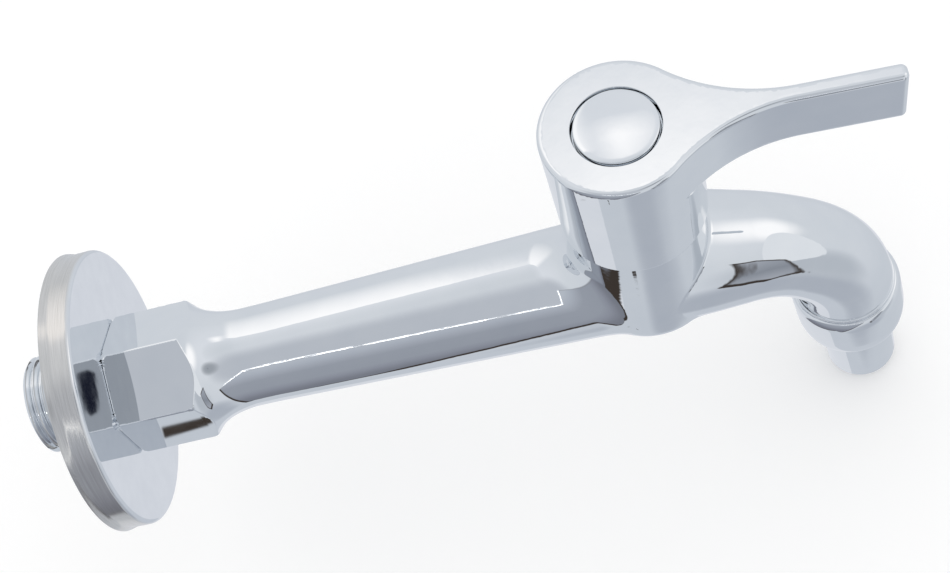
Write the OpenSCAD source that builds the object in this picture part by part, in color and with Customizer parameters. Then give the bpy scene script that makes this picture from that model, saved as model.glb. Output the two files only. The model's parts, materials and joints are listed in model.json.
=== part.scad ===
// Wall-mounted garden tap: long cast body with a quarter-turn ceramic valve,
// a lever handle, a steel wall flange and a hose nozzle held by a union nut.
// Origin: on the inlet's axis, in the plane of the wall. +X leaves the wall, +Z is up.
// Millimetres and degrees.

/* [Inlet] */
// Outer diameter of the inlet thread, a half-inch pipe thread
inlet_thread_d = 20.955; // [20:0.1:22]
// Length of thread that stands behind the wall plane
inlet_reach = 12.8; // [8:0.2:20]
// Bore of the waterway in the inlet and the barrel
waterway_d = 13; // [10:0.5:14]
// Hexagon for the spanner, across its flats
hex_across = 25.6; // [24:0.1:27]
// Length of the hexagon at its corners
hex_length = 16.6; // [12:0.2:22]

/* [Barrel and housing] */
// Distance from the wall to the valve's axis
valve_x = 118.3; // [105:0.1:150]
// Radius of the barrel where the hexagon's neck ends
barrel_r_small = 10.4; // [9.8:0.1:11]
// Radius of the barrel at the valve's axis
barrel_r_large = 12.65; // [12:0.05:13]
// Length of the hollow neck between the hexagon and the barrel
neck_length = 10.9; // [8:0.1:14]
// Radius of the valve housing at the barrel's height
housing_r = 13; // [12.8:0.1:13.8]
// Radius of the housing's round top
housing_top_r = 14.2; // [14:0.05:14.6]
// Height of the housing's top face above the barrel's axis
housing_top_z = 24.4; // [23.6:0.1:26]
// Height of the valve seat
seat_z = 1; // [0:0.1:1.5]
// Bore of the seat
seat_hole_d = 10; // [8:0.5:10.5]
// Radius of the cross passage below the seat
passage_r = 4; // [3:0.1:4.2]

/* [Spout] */
// Height of the spout's axis where it crosses the valve's axis
spout_rise = 3.2; // [2:0.1:4]
// Slope of the spout where it leaves the housing
spout_slope = 13; // [8:0.5:16]
// Length of the spout's straight first part
spout_lead = 19.8; // [17:0.2:26]
// Radius of the bend's centre line
bend_r = 28.1; // [24:0.1:34]
// Outer radius of the spout
spout_r = 10.45; // [10:0.05:10.6]
// Outer radius of the spout where it leaves the housing
root_r = 13.4; // [12:0.1:13.8]
// Bore of the spout
spout_bore_d = 12.6; // [11:0.2:13]
// Angle by which the outlet leans away from the wall
outlet_tilt = 7; // [0:0.5:12]

/* [Wall flange] */
// Diameter of the flange at the wall
flange_d = 60; // [54:1:70]
// Depth of the flange
flange_depth = 6.2; // [5.6:0.1:8]
// Thickness of the flange's sheet
flange_wall = 0.8; // [0.6:0.1:1]

/* [Lever handle] */
// Radius of the handle's hub at its top
hub_r = 14.1; // [14:0.05:14.6]
// Extra radius of the hub's skirt at its foot
skirt_draft = 0.4; // [0:0.05:0.5]
// Height of the handle, from its skirt's foot to its flat top
handle_height = 28.1; // [27.4:0.1:31]
// Round edge of the hub's rim and of the lever's top
edge_r = 1; // [0.4:0.1:1.4]
// Wall of the handle's skirt
skirt_wall = 1.75; // [1.4:0.05:1.8]
// Reach of the lever from the valve's axis
lever_reach = 50.5; // [42:0.5:60]
// Width of the lever's blade
blade_w = 3.4; // [3:0.1:5]
// Distance from the valve's axis to where the flanks run straight
waist_x = 32; // [28:0.5:36]
// Height of the lever's blade
lever_height = 12.4; // [9:0.1:14]
// Angle at which the closed lever stands from the spout's line
closed_angle = -3; // [-8:0.5:8]
// Radius of the index cap
cap_r = 7.75; // [7:0.05:7.8]

/* [Valve cartridge] */
// Outer diameter of the headwork's thread, a half-inch pipe thread
headwork_thread_d = 20.955; // [20.6:0.005:21]
// Length of the headwork's thread
headwork_thread_length = 10.2; // [8:0.1:11]
// Radius of the ceramic discs
disc_r = 7.2; // [7:0.05:7.3]
// Thickness of a ceramic disc
disc_thickness = 2.3; // [2:0.1:2.5]
// Angle of each window in a ceramic disc
window_angle = 78; // [60:2:84]
// Radius of the spindle
spindle_r = 4.9; // [4.6:0.05:5]
// Angle through which the valve turns
turn_angle = 90; // [80:5:90]
// Number of teeth on the spindle's spline
spline_teeth = 20; // [16:2:24]
// Cord thickness of the spindle's sealing rings
ring_cord = 1.36; // [1.2:0.02:1.4]

/* [Outlet] */
// Greatest radius of the union nut
nut_r = 11.75; // [11.4:0.05:12.4]
// Length of the union nut
nut_length = 16.6; // [15:0.2:20]
// Radius of the outlet's thread
outlet_thread_r = 9.6; // [9.4:0.05:9.8]
// Length of the outlet's thread
outlet_thread_length = 8; // [6:0.2:8.4]
// Outer radius of the hose nozzle
nozzle_r = 7.75; // [7:0.05:8]
// Wall of the hose nozzle
nozzle_wall = 1.75; // [1.2:0.05:2]
// Length of the nozzle below the union nut
nozzle_reach = 21; // [14:0.5:30]

/* [Hidden] */
$fn = 72;

// Clearances
running_gap = 0.05;
seat_gap = 0.1;
foot_gap = 0.4;
loose_gap = 0.12;
// A straight length stands this much proud of the bend that it overlaps
seam_step = 0.03;
seam_overlap = 0.5;
// Cuts run this far past the face they open
past = 1;

// Inlet, hexagon and barrel
hex_x = flange_depth;
hex_end_x = hex_x + hex_length;
neck_end_x = hex_end_x + neck_length;
hex_corner_r = hex_across / 2 / cos(30);
neck_flare = 0.57;
neck_flare_r = hex_corner_r + neck_flare;
thread_chamfer = 0.7;
undercut_w = 2;
undercut_depth = 1;

// Pressed cup of the wall flange
flange_flare = 0.5;
flange_flare_height = 1.6;
flange_swell = 0.1;
flange_bend = 0.9;

// Housing: the well for the headwork and the passage below the seat
thread_r = headwork_thread_d / 2;
well_step = 0.4;
well_r = thread_r - well_step;
web = 4;
seat_wall = 2;
passage_z = seat_z - seat_wall - passage_r;
housing_step_z = 18;
housing_chamfer = 0.4;
housing_swell = 0.1;

// Valve heights, from the seat upwards
sleeve_wall = 1.3;
sleeve_bore_r = disc_r + seat_gap;
sleeve_r = sleeve_bore_r + sleeve_wall;
seal_height = 2.4;
seal_foot = 1.2;
seal_foot_step = 0.4;
seal_foot_r = disc_r - seal_foot_step;
seal_grip = 0.2;
sleeve_foot_z = seat_z + seal_foot - seal_grip;
fixed_disc_z = seat_z + seal_height;
moving_disc_z = fixed_disc_z + disc_thickness + running_gap;
carrier_z = moving_disc_z + disc_thickness + running_gap;
carrier_height = 5.7;
carrier_plate = 1.2;
carrier_clearance = 0.2;
carrier_r = disc_r - carrier_clearance;
carrier_stem_r = 4;
collar_z = carrier_z + carrier_height + running_gap;
collar_step = 1;
collar_r = disc_r - collar_step;
collar_height = 2;
thrust_z = collar_z + collar_height + running_gap;
thrust_height = 0.95;
shoulder_z = thrust_z + thrust_height + running_gap;
disc_hub_r = 1.6;
disc_rim = 1.6;
disc_tab = 1.1;
tab_w = 3;
dog_w = 3;
dog_height = 0.9;
dog_depth = 1.3;
tongue_w = 3;
tongue_r = carrier_stem_r - running_gap;
tongue_floor = 2.5;
window_w = 8;
window_sill = 0.7;
window_height = carrier_height - 2 * window_sill;
lug_angle = 30;
stop_slack = 1;

// Headwork's outside, from the housing's top upwards
washer_height = 1.2;
washer_recess = 1;
housing_lip = 2;
washer_r = housing_top_r - housing_lip;
flange_z = housing_top_z - washer_recess + washer_height;
thread_foot_z = flange_z - headwork_thread_length;
flange_height = 2.4;
spanner_height = 5;
spanner_across = 17;
neck_top_z = flange_z + flange_height + spanner_height;

// Spindle's grooves for its rings and its clip
ring_rise = 3.5;
ring_spacing = 4;
ring_bore_r = spindle_r + running_gap;
groove_gap = 0.02;
groove_r = ring_bore_r - ring_cord - groove_gap;
groove_height = ring_cord + 0.1;
lower_ring_z = shoulder_z + ring_rise;
upper_ring_z = lower_ring_z + ring_spacing;
clip_z = neck_top_z + seat_gap;
clip_height = 1;
clip_groove_depth = 0.9;
clip_groove_r = spindle_r - clip_groove_depth;
clip_rim = 1.3;
clip_r = spindle_r + clip_rim;
clip_mouth = 5.2;
clip_land = 0.6;

// Handle heights, from the housing's top upwards
skirt_foot_z = housing_top_z + foot_gap;
handle_top_z = skirt_foot_z + handle_height;
lever_foot_z = handle_top_z - lever_height;
skirt_foot_r = hub_r + skirt_draft;
skirt_bore_r = hub_r - skirt_wall;
boss_clearance = 0.8;
boss_foot_z = clip_z + clip_height + boss_clearance;
bush_rise = 0.2;
spline_foot_z = boss_foot_z + bush_rise;
spline_r = 4;
spline_depth = 0.5;
bush_wall = 1.6;
bush_r = spline_r + bush_wall;
boss_wall = 1.8;
boss_r = bush_r + boss_wall;
cap_groove = 0.4;
pocket_r = cap_r + cap_groove;
pocket_wall = 1.65;
top_wall = 3.5;

// Screw, its washer and the cap. The pocket's floor lies a cap, a screw head and a washer
// below the handle's top, and the spindle reaches up to it.
screw_r = 2;
screw_length = 9.5;
screw_relief = 0.5;
screw_head_r = 3.8;
screw_head_height = 2.5;
recess_length = 4;
recess_w = 0.8;
lock_washer_height = 0.8;
lock_washer_slit = 0.6;
cap_thickness = 1.6;
cap_dome = 0.35;
cap_skirt = 3;
cap_wall = 1.1;
cap_skirt_r = pocket_r - seat_gap;
cap_slot = 1.5;
cap_headroom = 1.9;
pocket_z = handle_top_z + seat_gap - cap_thickness - cap_headroom - screw_head_height - lock_washer_height;
web_height = 2;
web_clearance = 0.3;
web_z = pocket_z - web_height;
spindle_top_z = web_z - web_clearance;
spline_length = spindle_top_z - spline_foot_z;

// Lever plan: each flank is an arc that leaves the hub and ends at the waist
flank_r = (pow(waist_x, 2) + pow(blade_w / 2, 2) - pow(hub_r, 2)) / (2 * hub_r - blade_w);
flank_y = blade_w / 2 + flank_r;
flank_touch = hub_r / (hub_r + flank_r);
tip_r = 1.2;

// Spout path in the XZ plane: lead, bend and outlet
lead_end = [valve_x + spout_lead * cos(spout_slope), spout_rise - spout_lead * sin(spout_slope)];
bend_centre = lead_end - bend_r * [sin(spout_slope), cos(spout_slope)];
bend_angle = 90 - spout_slope - outlet_tilt;
bend_end = bend_centre + bend_r * [cos(outlet_tilt), sin(outlet_tilt)];
root_depth = 3.5;
root_x = housing_r - root_depth;
taper_overlap = 7.2;
taper_end = spout_lead + taper_overlap;

// Outlet stack, measured down the outlet's axis from the end of the bend
lip_rim = 0.35;
lip_r = spout_r + lip_rim;
lip_foot = 1.3;
lip_height = 1;
spigot_end = lip_foot + outlet_thread_length;
nut_clearance = 0.2;
nut_top = lip_foot + nut_clearance;
nut_foot = nut_top + nut_length;
nut_shoulder = 1.1;
nut_shoulder_length = 3;
nut_foot_round = 2.1;
nut_foot_length = 6.6;
nozzle_flange = 2.1;
nozzle_washer_height = 1.6;
nozzle_washer_lip = 0.3;
nozzle_top = spigot_end + nozzle_washer_height + 2 * running_gap;
nut_ledge = nozzle_top + nozzle_flange + seat_gap;
nozzle_end = nut_foot + nozzle_reach;
nozzle_edge = 1;
nozzle_neck_depth = 0.25;
nozzle_neck_r = nozzle_r - nozzle_neck_depth;
nozzle_neck_end = nut_foot + nut_clearance;
flange_fit_r = outlet_thread_r - seat_gap;

// Points of an arc, from one angle to another
function arc(centre, r, from, to, steps = 10) =
    [for (i = [0:steps]) let (a = from + (to - from) * i / steps) centre + r * [cos(a), sin(a)]];

// Points of an ellipse's arc
function oval(centre, rx, ry, from, to, steps = 12) =
    [for (i = [0:steps]) let (a = from + (to - from) * i / steps) centre + [rx * cos(a), ry * sin(a)]];

module along_x(x = 0, z = 0) {
    translate([x, 0, z]) rotate([0, 90, 0]) children();
}

module at_valve(z = 0) {
    translate([valve_x, 0, z]) children();
}

// The turning set stands at the closed angle
module turned(z = 0) {
    at_valve(z) rotate([0, 0, closed_angle]) children();
}

module at_spout_root() {
    translate([valve_x, 0, spout_rise]) rotate([0, 90 + spout_slope, 0]) children();
}

// Local +Z runs down the outlet
module at_outlet(z = 0) {
    translate([bend_end[0], 0, bend_end[1]]) rotate([180, -outlet_tilt, 0]) translate([0, 0, z]) children();
}

// The same on both sides of the axis
module both_sides(angle = 0) {
    for (side = [0, 180]) rotate([0, 0, angle + side]) children();
}

module bored(r, bore_r, height) {
    difference() {
        cylinder(r = r, h = height);
        translate([0, 0, -past]) cylinder(r = bore_r, h = height + 2 * past);
    }
}

// A bar across the axis, centred on it
module bar(length, width, height) {
    translate([-length / 2, -width / 2, 0]) cube([length, width, height]);
}

// A bar along Y, long enough to cross both walls of the headwork's sleeve
module bar_y(width, height) {
    rotate([0, 0, 90]) bar(2 * thread_r, width, height);
}

// A sector of less than half a turn, centred on +X
module sector(angle, r, height) {
    linear_extrude(height) polygon([
        [0, 0],
        r * [cos(angle / 2), -sin(angle / 2)],
        r / cos(angle / 2) * [1, -tan(angle / 4)],
        r / cos(angle / 2) * [1, tan(angle / 4)],
        r * [cos(angle / 2), sin(angle / 2)]
    ]);
}

// Part of a torus that lies in the XZ plane and turns down from the lead
module bend(r) {
    translate([bend_centre[0], 0, bend_centre[1]])
        rotate([90, 0, 0])
            rotate_extrude(angle = bend_angle, start = outlet_tilt) translate([bend_r, 0]) circle(r);
}

// The thread ends in an undercut before the hexagon
module inlet_stub() {
    r = inlet_thread_d / 2;
    core = r - undercut_depth;
    length = inlet_reach + hex_x;
    thread = length - undercut_w;
    along_x(-inlet_reach) rotate_extrude() polygon([
        [0, 0], [r - thread_chamfer, 0], [r, thread_chamfer], [r, thread],
        [core, thread], [core, length], [0, length]
    ]);
}

// The hexagon runs out into a hollow neck, which cuts its flats in curves
module hexagon_and_neck() {
    length = hex_length + neck_length;
    along_x(hex_x) intersection() {
        cylinder(r = hex_corner_r, h = length, $fn = 6);
        rotate_extrude() polygon(concat(
            [[0, 0], [neck_flare_r, 0]],
            oval([neck_flare_r, length], neck_flare_r - barrel_r_small, neck_length, 270, 180),
            [[0, length]]
        ));
    }
}

module barrel() {
    along_x(neck_end_x) cylinder(r1 = barrel_r_small, r2 = barrel_r_large, h = valve_x - neck_end_x);
}

// Round below, with a straight round top that is a little wider
module housing() {
    step = housing_top_r - housing_r - housing_swell;
    at_valve() rotate_extrude() polygon(concat(
        arc([0, 0], housing_r, -90, 0, 14),
        arc([housing_top_r - step, housing_step_z], step, -20, 0, 2),
        [[housing_top_r, housing_top_z - housing_chamfer], [housing_top_r - housing_chamfer, housing_top_z]],
        [[0, housing_top_z]]
    ));
}

// The cone of the spout's root at a distance from the valve's axis. Past the lead it
// sinks by as much as the bend falls away, and so runs out on the bend's surface.
function taper_r(s) = root_r + (spout_r - root_r) * (s - root_x) / (taper_end - root_x)
    - (s > spout_lead ? pow(s - spout_lead, 2) / (2 * bend_r) : 0);

module spout() {
    steps = 6;
    at_spout_root() rotate_extrude() polygon(concat(
        [[0, 0], [root_r, 0], [root_r, root_x], [taper_r(spout_lead), spout_lead]],
        [for (i = [1:steps]) let (s = spout_lead + (taper_end - spout_lead) * i / steps) [taper_r(s), s]],
        [[0, taper_end]]
    ));
    bend(spout_r);
    at_outlet(-seam_overlap) cylinder(r = spout_r - seam_step, h = lip_foot + seam_overlap);
    at_outlet(lip_foot - lip_height) cylinder(r = lip_r, h = lip_height);
    at_outlet() cylinder(r = outlet_thread_r, h = spigot_end);
}

module waterway() {
    inlet_bore = valve_x - well_r - web;
    along_x(-inlet_reach - past) cylinder(d = waterway_d, h = inlet_reach + past + inlet_bore);
    along_x(inlet_bore - passage_r, passage_z) cylinder(r = passage_r, h = passage_r + web + well_r);
    at_valve(passage_z - passage_r + seat_gap) cylinder(d = seat_hole_d, h = seat_z - passage_z + passage_r);
    at_valve(seat_z) cylinder(r = well_r, h = housing_top_z);
    at_valve(thread_foot_z - past) cylinder(r = thread_r + running_gap, h = housing_top_z);
    at_valve(housing_top_z - washer_recess) cylinder(r = washer_r + seat_gap, h = washer_recess + past);
    at_spout_root() translate([0, 0, well_r - seam_overlap])
        cylinder(d = spout_bore_d, h = spout_lead - well_r + 2 * seam_overlap);
    bend(spout_bore_d / 2 - seam_step);
    at_outlet(-seam_overlap) cylinder(d = spout_bore_d, h = spigot_end + seam_overlap + past);
}

module tap_body() {
    color("silver") difference() {
        union() {
            inlet_stub();
            hexagon_and_neck();
            barrel();
            housing();
            spout();
        }
        waterway();
    }
}

// Outline of the pressed cup, drawn in by the given wall
module cup_outline(wall) {
    rim = flange_d / 2 - wall;
    waist = rim - flange_flare;
    front = rim - flange_flare + flange_swell;
    corner = max(flange_bend - wall, 0.2);
    polygon(concat(
        [[0, wall > 0 ? -past : 0], [rim, wall > 0 ? -past : 0], [rim, 0], [waist, flange_flare_height]],
        arc([front - corner, flange_depth - wall - corner], corner, 0, 90, 6),
        [[0, flange_depth - wall]]
    ));
}

module wall_flange() {
    color("gainsboro") along_x() difference() {
        rotate_extrude() cup_outline(0);
        rotate_extrude() cup_outline(flange_wall);
        cylinder(r = inlet_thread_d / 2 + loose_gap, h = flange_depth + past);
    }
}

// The spindle's lug swings in what this ring leaves free
module stop_ring() {
    free_angle = turn_angle + lug_angle + 2 * stop_slack;
    rotate([0, 0, turn_angle + stop_slack + lug_angle / 2])
        rotate_extrude(angle = 360 - free_angle)
            translate([collar_r + seat_gap, collar_z]) square([sleeve_bore_r - collar_r, collar_height]);
}

module headwork_body() {
    color("goldenrod") turned() difference() {
        union() {
            difference() {
                union() {
                    translate([0, 0, sleeve_foot_z]) cylinder(r = sleeve_r, h = flange_z - sleeve_foot_z);
                    translate([0, 0, thread_foot_z]) cylinder(r = thread_r, h = headwork_thread_length);
                    translate([0, 0, flange_z]) cylinder(r = washer_r, h = flange_height);
                    translate([0, 0, flange_z + flange_height])
                        cylinder(d = spanner_across / cos(30), h = spanner_height, $fn = 6);
                }
                // Room for the discs, the carrier and the spindle's collar
                translate([0, 0, sleeve_foot_z - past])
                    cylinder(r = sleeve_bore_r, h = shoulder_z - sleeve_foot_z + past);
            }
            stop_ring();
        }
        translate([0, 0, shoulder_z - past]) cylinder(r = ring_bore_r, h = neck_top_z);
        // Outflow windows beside the carrier
        rotate([0, 0, 45]) translate([0, 0, carrier_z + (carrier_height - window_height) / 2])
            bar(2 * thread_r, window_w, window_height);
        // Slots for the fixed disc's tabs
        translate([0, 0, sleeve_foot_z - past])
            bar_y(tab_w + 2 * seat_gap, moving_disc_z - sleeve_foot_z + past);
    }
}

module headwork_washer() {
    color("dimgray") at_valve(housing_top_z - washer_recess)
        bored(washer_r, thread_r + seat_gap, washer_height);
}

module seat_seal() {
    color("black") at_valve(seat_z) difference() {
        union() {
            cylinder(r = seal_foot_r, h = seal_height);
            translate([0, 0, seal_foot]) cylinder(r = disc_r, h = seal_height - seal_foot);
        }
        translate([0, 0, -past]) cylinder(d = seat_hole_d, h = seal_height + 2 * past);
    }
}

// Two opposite windows let the water through
module disc_windows(angle) {
    translate([0, 0, -past]) intersection() {
        bored(disc_r - disc_rim, disc_hub_r, disc_thickness + 2 * past);
        both_sides(angle) sector(window_angle, disc_r, disc_thickness + 2 * past);
    }
}

module fixed_disc() {
    color("ghostwhite") turned(fixed_disc_z) difference() {
        union() {
            cylinder(r = disc_r, h = disc_thickness);
            intersection() {
                bar_y(tab_w, disc_thickness);
                cylinder(r = disc_r + disc_tab, h = disc_thickness);
            }
        }
        disc_windows(0);
    }
}

module moving_disc() {
    color("white") turned(moving_disc_z) difference() {
        cylinder(r = disc_r, h = disc_thickness);
        disc_windows(90);
        // Notches for the carrier's dogs
        both_sides() translate([disc_r, 0, disc_thickness - dog_height - seat_gap])
            bar(2 * (dog_depth + seat_gap), dog_w + 2 * seat_gap, dog_height + past);
    }
}

module disc_carrier() {
    color("peru") turned(carrier_z) difference() {
        union() {
            cylinder(r = carrier_r, h = carrier_plate);
            cylinder(r = carrier_stem_r, h = carrier_height);
            intersection() {
                both_sides() translate([disc_r, 0, -dog_height])
                    bar(2 * dog_depth, dog_w, dog_height + carrier_plate);
                translate([0, 0, -past]) cylinder(r = carrier_r, h = carrier_height);
            }
        }
        disc_windows(90);
        // Slot for the spindle's tongue
        translate([0, 0, tongue_floor])
            bar(2 * carrier_r, tongue_w + 2 * running_gap, carrier_height);
    }
}

// A spline's outline: teeth and valleys in turn
module spline_outline(extra) {
    polygon([for (i = [0:2 * spline_teeth - 1]) let (a = 180 * i / spline_teeth)
        (spline_r + extra - (i % 2) * spline_depth) * [cos(a), sin(a)]]);
}

module spindle() {
    groove_cut_r = spindle_r + past;
    color("gold") turned() difference() {
        union() {
            // Tongue in the carrier's slot
            translate([0, 0, carrier_z + tongue_floor + seat_gap]) intersection() {
                bar(2 * spindle_r, tongue_w, collar_z - carrier_z - tongue_floor);
                cylinder(r = tongue_r, h = carrier_height);
            }
            translate([0, 0, collar_z]) {
                cylinder(r = collar_r, h = collar_height);
                intersection() {
                    cylinder(r = disc_r, h = collar_height);
                    sector(lug_angle, disc_r + past, collar_height);
                }
                cylinder(r = spindle_r, h = clip_z + clip_height + clip_land - collar_z);
                cylinder(r = spline_r - spline_depth - seam_step, h = spline_foot_z - collar_z);
            }
            translate([0, 0, spline_foot_z - seat_gap])
                linear_extrude(spline_length + seat_gap) spline_outline(0);
        }
        for (z = [lower_ring_z, upper_ring_z])
            translate([0, 0, z]) bored(groove_cut_r, groove_r, groove_height);
        translate([0, 0, clip_z - running_gap])
            bored(groove_cut_r, clip_groove_r, clip_height + 2 * running_gap);
        translate([0, 0, spindle_top_z - screw_length])
            cylinder(r = screw_r + running_gap, h = screw_length + past);
    }
}

module spindle_ring(z) {
    color("black") turned(z + groove_height / 2) rotate_extrude()
        translate([groove_r + (ring_cord + groove_gap) / 2, 0]) circle(d = ring_cord);
}

module lower_spindle_ring() {
    spindle_ring(lower_ring_z);
}

module upper_spindle_ring() {
    spindle_ring(upper_ring_z);
}

module thrust_washer() {
    color("ivory") turned(thrust_z) bored(disc_r, spindle_r + seat_gap, thrust_height);
}

// An open clip that sits in the spindle's groove on top of the headwork
module spindle_clip() {
    color("gray") turned(clip_z) difference() {
        bored(clip_r, clip_groove_r + running_gap, clip_height);
        translate([-clip_r, 0, -past]) bar(2 * clip_r, clip_mouth, clip_height + 2 * past);
    }
}

module spline_bush() {
    color("whitesmoke") turned(spline_foot_z) difference() {
        cylinder(r = bush_r, h = spline_length);
        translate([0, 0, -past]) linear_extrude(spline_length + 2 * past) spline_outline(running_gap);
    }
}

// The lever's root seen from above: it fans from the waist to the hub between two hollow arcs
module fan_plan() {
    touch = flank_touch * [waist_x, flank_y];
    difference() {
        polygon([
            [0, 0], [touch[0], -touch[1]], [waist_x, -blade_w / 2],
            [waist_x, blade_w / 2], touch
        ]);
        for (side = [-1, 1]) translate([waist_x, side * flank_y]) circle(flank_r);
    }
}

// What rounds the top edge of a hollow flank: a ring with the edge's outline. Its round is
// a trace smaller than the hub's, so that the two don't meet in a feather edge.
module flank_rounding() {
    r = edge_r - seam_step;
    for (side = [-1, 1]) translate([waist_x, side * flank_y, lever_height - r])
        rotate_extrude() polygon(concat(
            [[flank_r - past, r + past], [flank_r - past, 0]],
            arc([flank_r + r, 0], r, 180, 90, 6),
            [[flank_r + r, r + past]]
        ));
}

module lever_fan() {
    difference() {
        linear_extrude(lever_height) fan_plan();
        flank_rounding();
    }
}

// From the waist to the tip: the cross-section, the side view and the plan, crossed
module lever_blade() {
    length = lever_reach - waist_x;
    half = blade_w / 2;
    translate([waist_x, 0, 0]) intersection() {
        rotate([90, 0, 90]) linear_extrude(length) polygon(concat(
            [[-half, 0], [half, 0]],
            arc([half - edge_r, lever_height - edge_r], edge_r, 0, 90, 6),
            arc([edge_r - half, lever_height - edge_r], edge_r, 90, 180, 6)
        ));
        rotate([90, 0, 0]) translate([0, 0, -half]) linear_extrude(blade_w) polygon(concat(
            [[0, 0], [length - tip_r, 0]],
            arc([length - tip_r, tip_r], tip_r, -90, 0, 6),
            arc([length - tip_r, lever_height - tip_r], tip_r, 0, 90, 6),
            [[0, lever_height]]
        ));
        linear_extrude(lever_height) polygon(concat(
            [[0, -half]],
            arc([length - tip_r, tip_r - half], tip_r, -90, 0, 6),
            arc([length - tip_r, half - tip_r], tip_r, 0, 90, 6),
            [[0, half]]
        ));
    }
}

module hub_outline() {
    polygon(concat(
        [[0, skirt_foot_z], [skirt_foot_r, skirt_foot_z], [hub_r, lever_foot_z]],
        arc([hub_r - edge_r, handle_top_z - edge_r], edge_r, 0, 90, 6),
        [[0, handle_top_z]]
    ));
}

module lever_handle() {
    color("lightgray") turned() difference() {
        union() {
            rotate_extrude() hub_outline();
            translate([0, 0, lever_foot_z]) lever_fan();
            translate([0, 0, lever_foot_z]) lever_blade();
        }
        // Space for the headwork, then for the boss and for the pocket's wall
        translate([0, 0, skirt_foot_z - past])
            cylinder(r = skirt_bore_r, h = boss_foot_z - skirt_foot_z + past);
        translate([0, 0, boss_foot_z - past]) bored(skirt_bore_r, boss_r, web_z - boss_foot_z + 2 * past);
        translate([0, 0, web_z - past])
            bored(skirt_bore_r, pocket_r + pocket_wall, handle_top_z - top_wall - web_z + past);
        // Bore for the bush, hole for the screw and pocket for the cap
        translate([0, 0, boss_foot_z - past])
            cylinder(r = bush_r + running_gap, h = web_z - boss_foot_z + past);
        translate([0, 0, web_z - past]) cylinder(r = screw_r + seat_gap, h = web_height + 2 * past);
        translate([0, 0, pocket_z]) cylinder(r = pocket_r, h = handle_top_z);
    }
}

module handle_screw() {
    foot_z = spindle_top_z - screw_length + screw_relief;
    head_z = pocket_z + lock_washer_height;
    color("gray") turned() difference() {
        union() {
            translate([0, 0, foot_z]) cylinder(r = screw_r, h = head_z - foot_z);
            translate([0, 0, head_z]) cylinder(r = screw_head_r, h = screw_head_height);
        }
        // Cross recess
        for (a = [0, 90]) rotate([0, 0, a]) translate([0, 0, head_z + screw_head_height / 2])
            bar(recess_length, recess_w, screw_head_height);
    }
}

// A split washer
module lock_washer() {
    color("darkgray") turned(pocket_z) difference() {
        bored(screw_head_r, screw_r + 2 * seat_gap, lock_washer_height);
        translate([screw_head_r, 0, -past])
            bar(2 * screw_head_r, lock_washer_slit, lock_washer_height + 2 * past);
    }
}

// A shallow dome on a snap skirt, which four slots let spring
module index_cap() {
    dome_r = (pow(cap_r, 2) + pow(cap_dome, 2)) / (2 * cap_dome);
    dome_angle = asin(cap_r / dome_r);
    height = cap_thickness + cap_skirt;
    color("lightgray") turned(handle_top_z + seat_gap - height) difference() {
        rotate_extrude() polygon(concat(
            [[0, 0], [cap_skirt_r, 0], [cap_skirt_r, cap_skirt], [cap_r, cap_skirt + cap_skirt_r - cap_r]],
            arc([0, height + cap_dome - dome_r], dome_r, 90 - dome_angle, 90, 6)
        ));
        translate([0, 0, -past]) cylinder(r = cap_skirt_r - cap_wall, h = cap_skirt + past);
        for (a = [0, 90]) rotate([0, 0, a]) translate([0, 0, -past]) bar(4 * cap_r, cap_slot, cap_skirt);
    }
}

module union_nut() {
    color("silver") at_outlet(nut_top) difference() {
        rotate_extrude() polygon(concat(
            [[0, 0]],
            oval([nut_r - nut_shoulder, nut_shoulder_length], nut_shoulder, nut_shoulder_length, -90, 0, 6),
            oval([nut_r - nut_foot_round, nut_length - nut_foot_length],
                nut_foot_round, nut_foot_length, 0, 70, 8),
            [[nut_r - nut_foot_round, nut_length], [0, nut_length]]
        ));
        translate([0, 0, -past]) cylinder(r = outlet_thread_r + running_gap, h = nut_ledge - nut_top + past);
        translate([0, 0, nut_ledge - nut_top - past]) cylinder(r = nozzle_r + seat_gap, h = nut_length);
    }
}

module hose_nozzle() {
    length = nozzle_end - nozzle_top;
    step = nozzle_neck_end - nozzle_top;
    color("silver") at_outlet(nozzle_top) difference() {
        rotate_extrude() polygon(concat(
            [[0, 0], [flange_fit_r, 0], [flange_fit_r, nozzle_flange], [nozzle_neck_r, nozzle_flange]],
            [[nozzle_neck_r, step], [nozzle_r, step]],
            arc([nozzle_r - nozzle_edge, length - nozzle_edge], nozzle_edge, 0, 90, 6),
            [[0, length]]
        ));
        translate([0, 0, -past]) cylinder(r = nozzle_r - nozzle_wall, h = length + 2 * past);
    }
}

module nozzle_washer() {
    color("black") at_outlet(spigot_end + running_gap)
        bored(flange_fit_r, nozzle_r - nozzle_wall + nozzle_washer_lip, nozzle_washer_height);
}

tap_body();
wall_flange();
headwork_body();
headwork_washer();
seat_seal();
fixed_disc();
moving_disc();
disc_carrier();
spindle();
lower_spindle_ring();
upper_spindle_ring();
thrust_washer();
spindle_clip();
spline_bush();
lever_handle();
handle_screw();
lock_washer();
index_cap();
union_nut();
hose_nozzle();
nozzle_washer();
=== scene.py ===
# %% [markdown]
# # A garden tap in chrome
# The real tap is a chromed brass casting with a lever, a pressed steel flange, a nut and a hose
# nozzle. The construction model gives every piece its size and place. This lesson gives them their
# finished surfaces. Chrome is a mirror, so most of the work goes into surfaces that bend a
# reflection cleanly, and the rest into the room that they mirror.

# %% Load the construction model
import json
import math
import bmesh
import bpy
import numpy as np
from mathutils import Matrix, Vector

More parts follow.
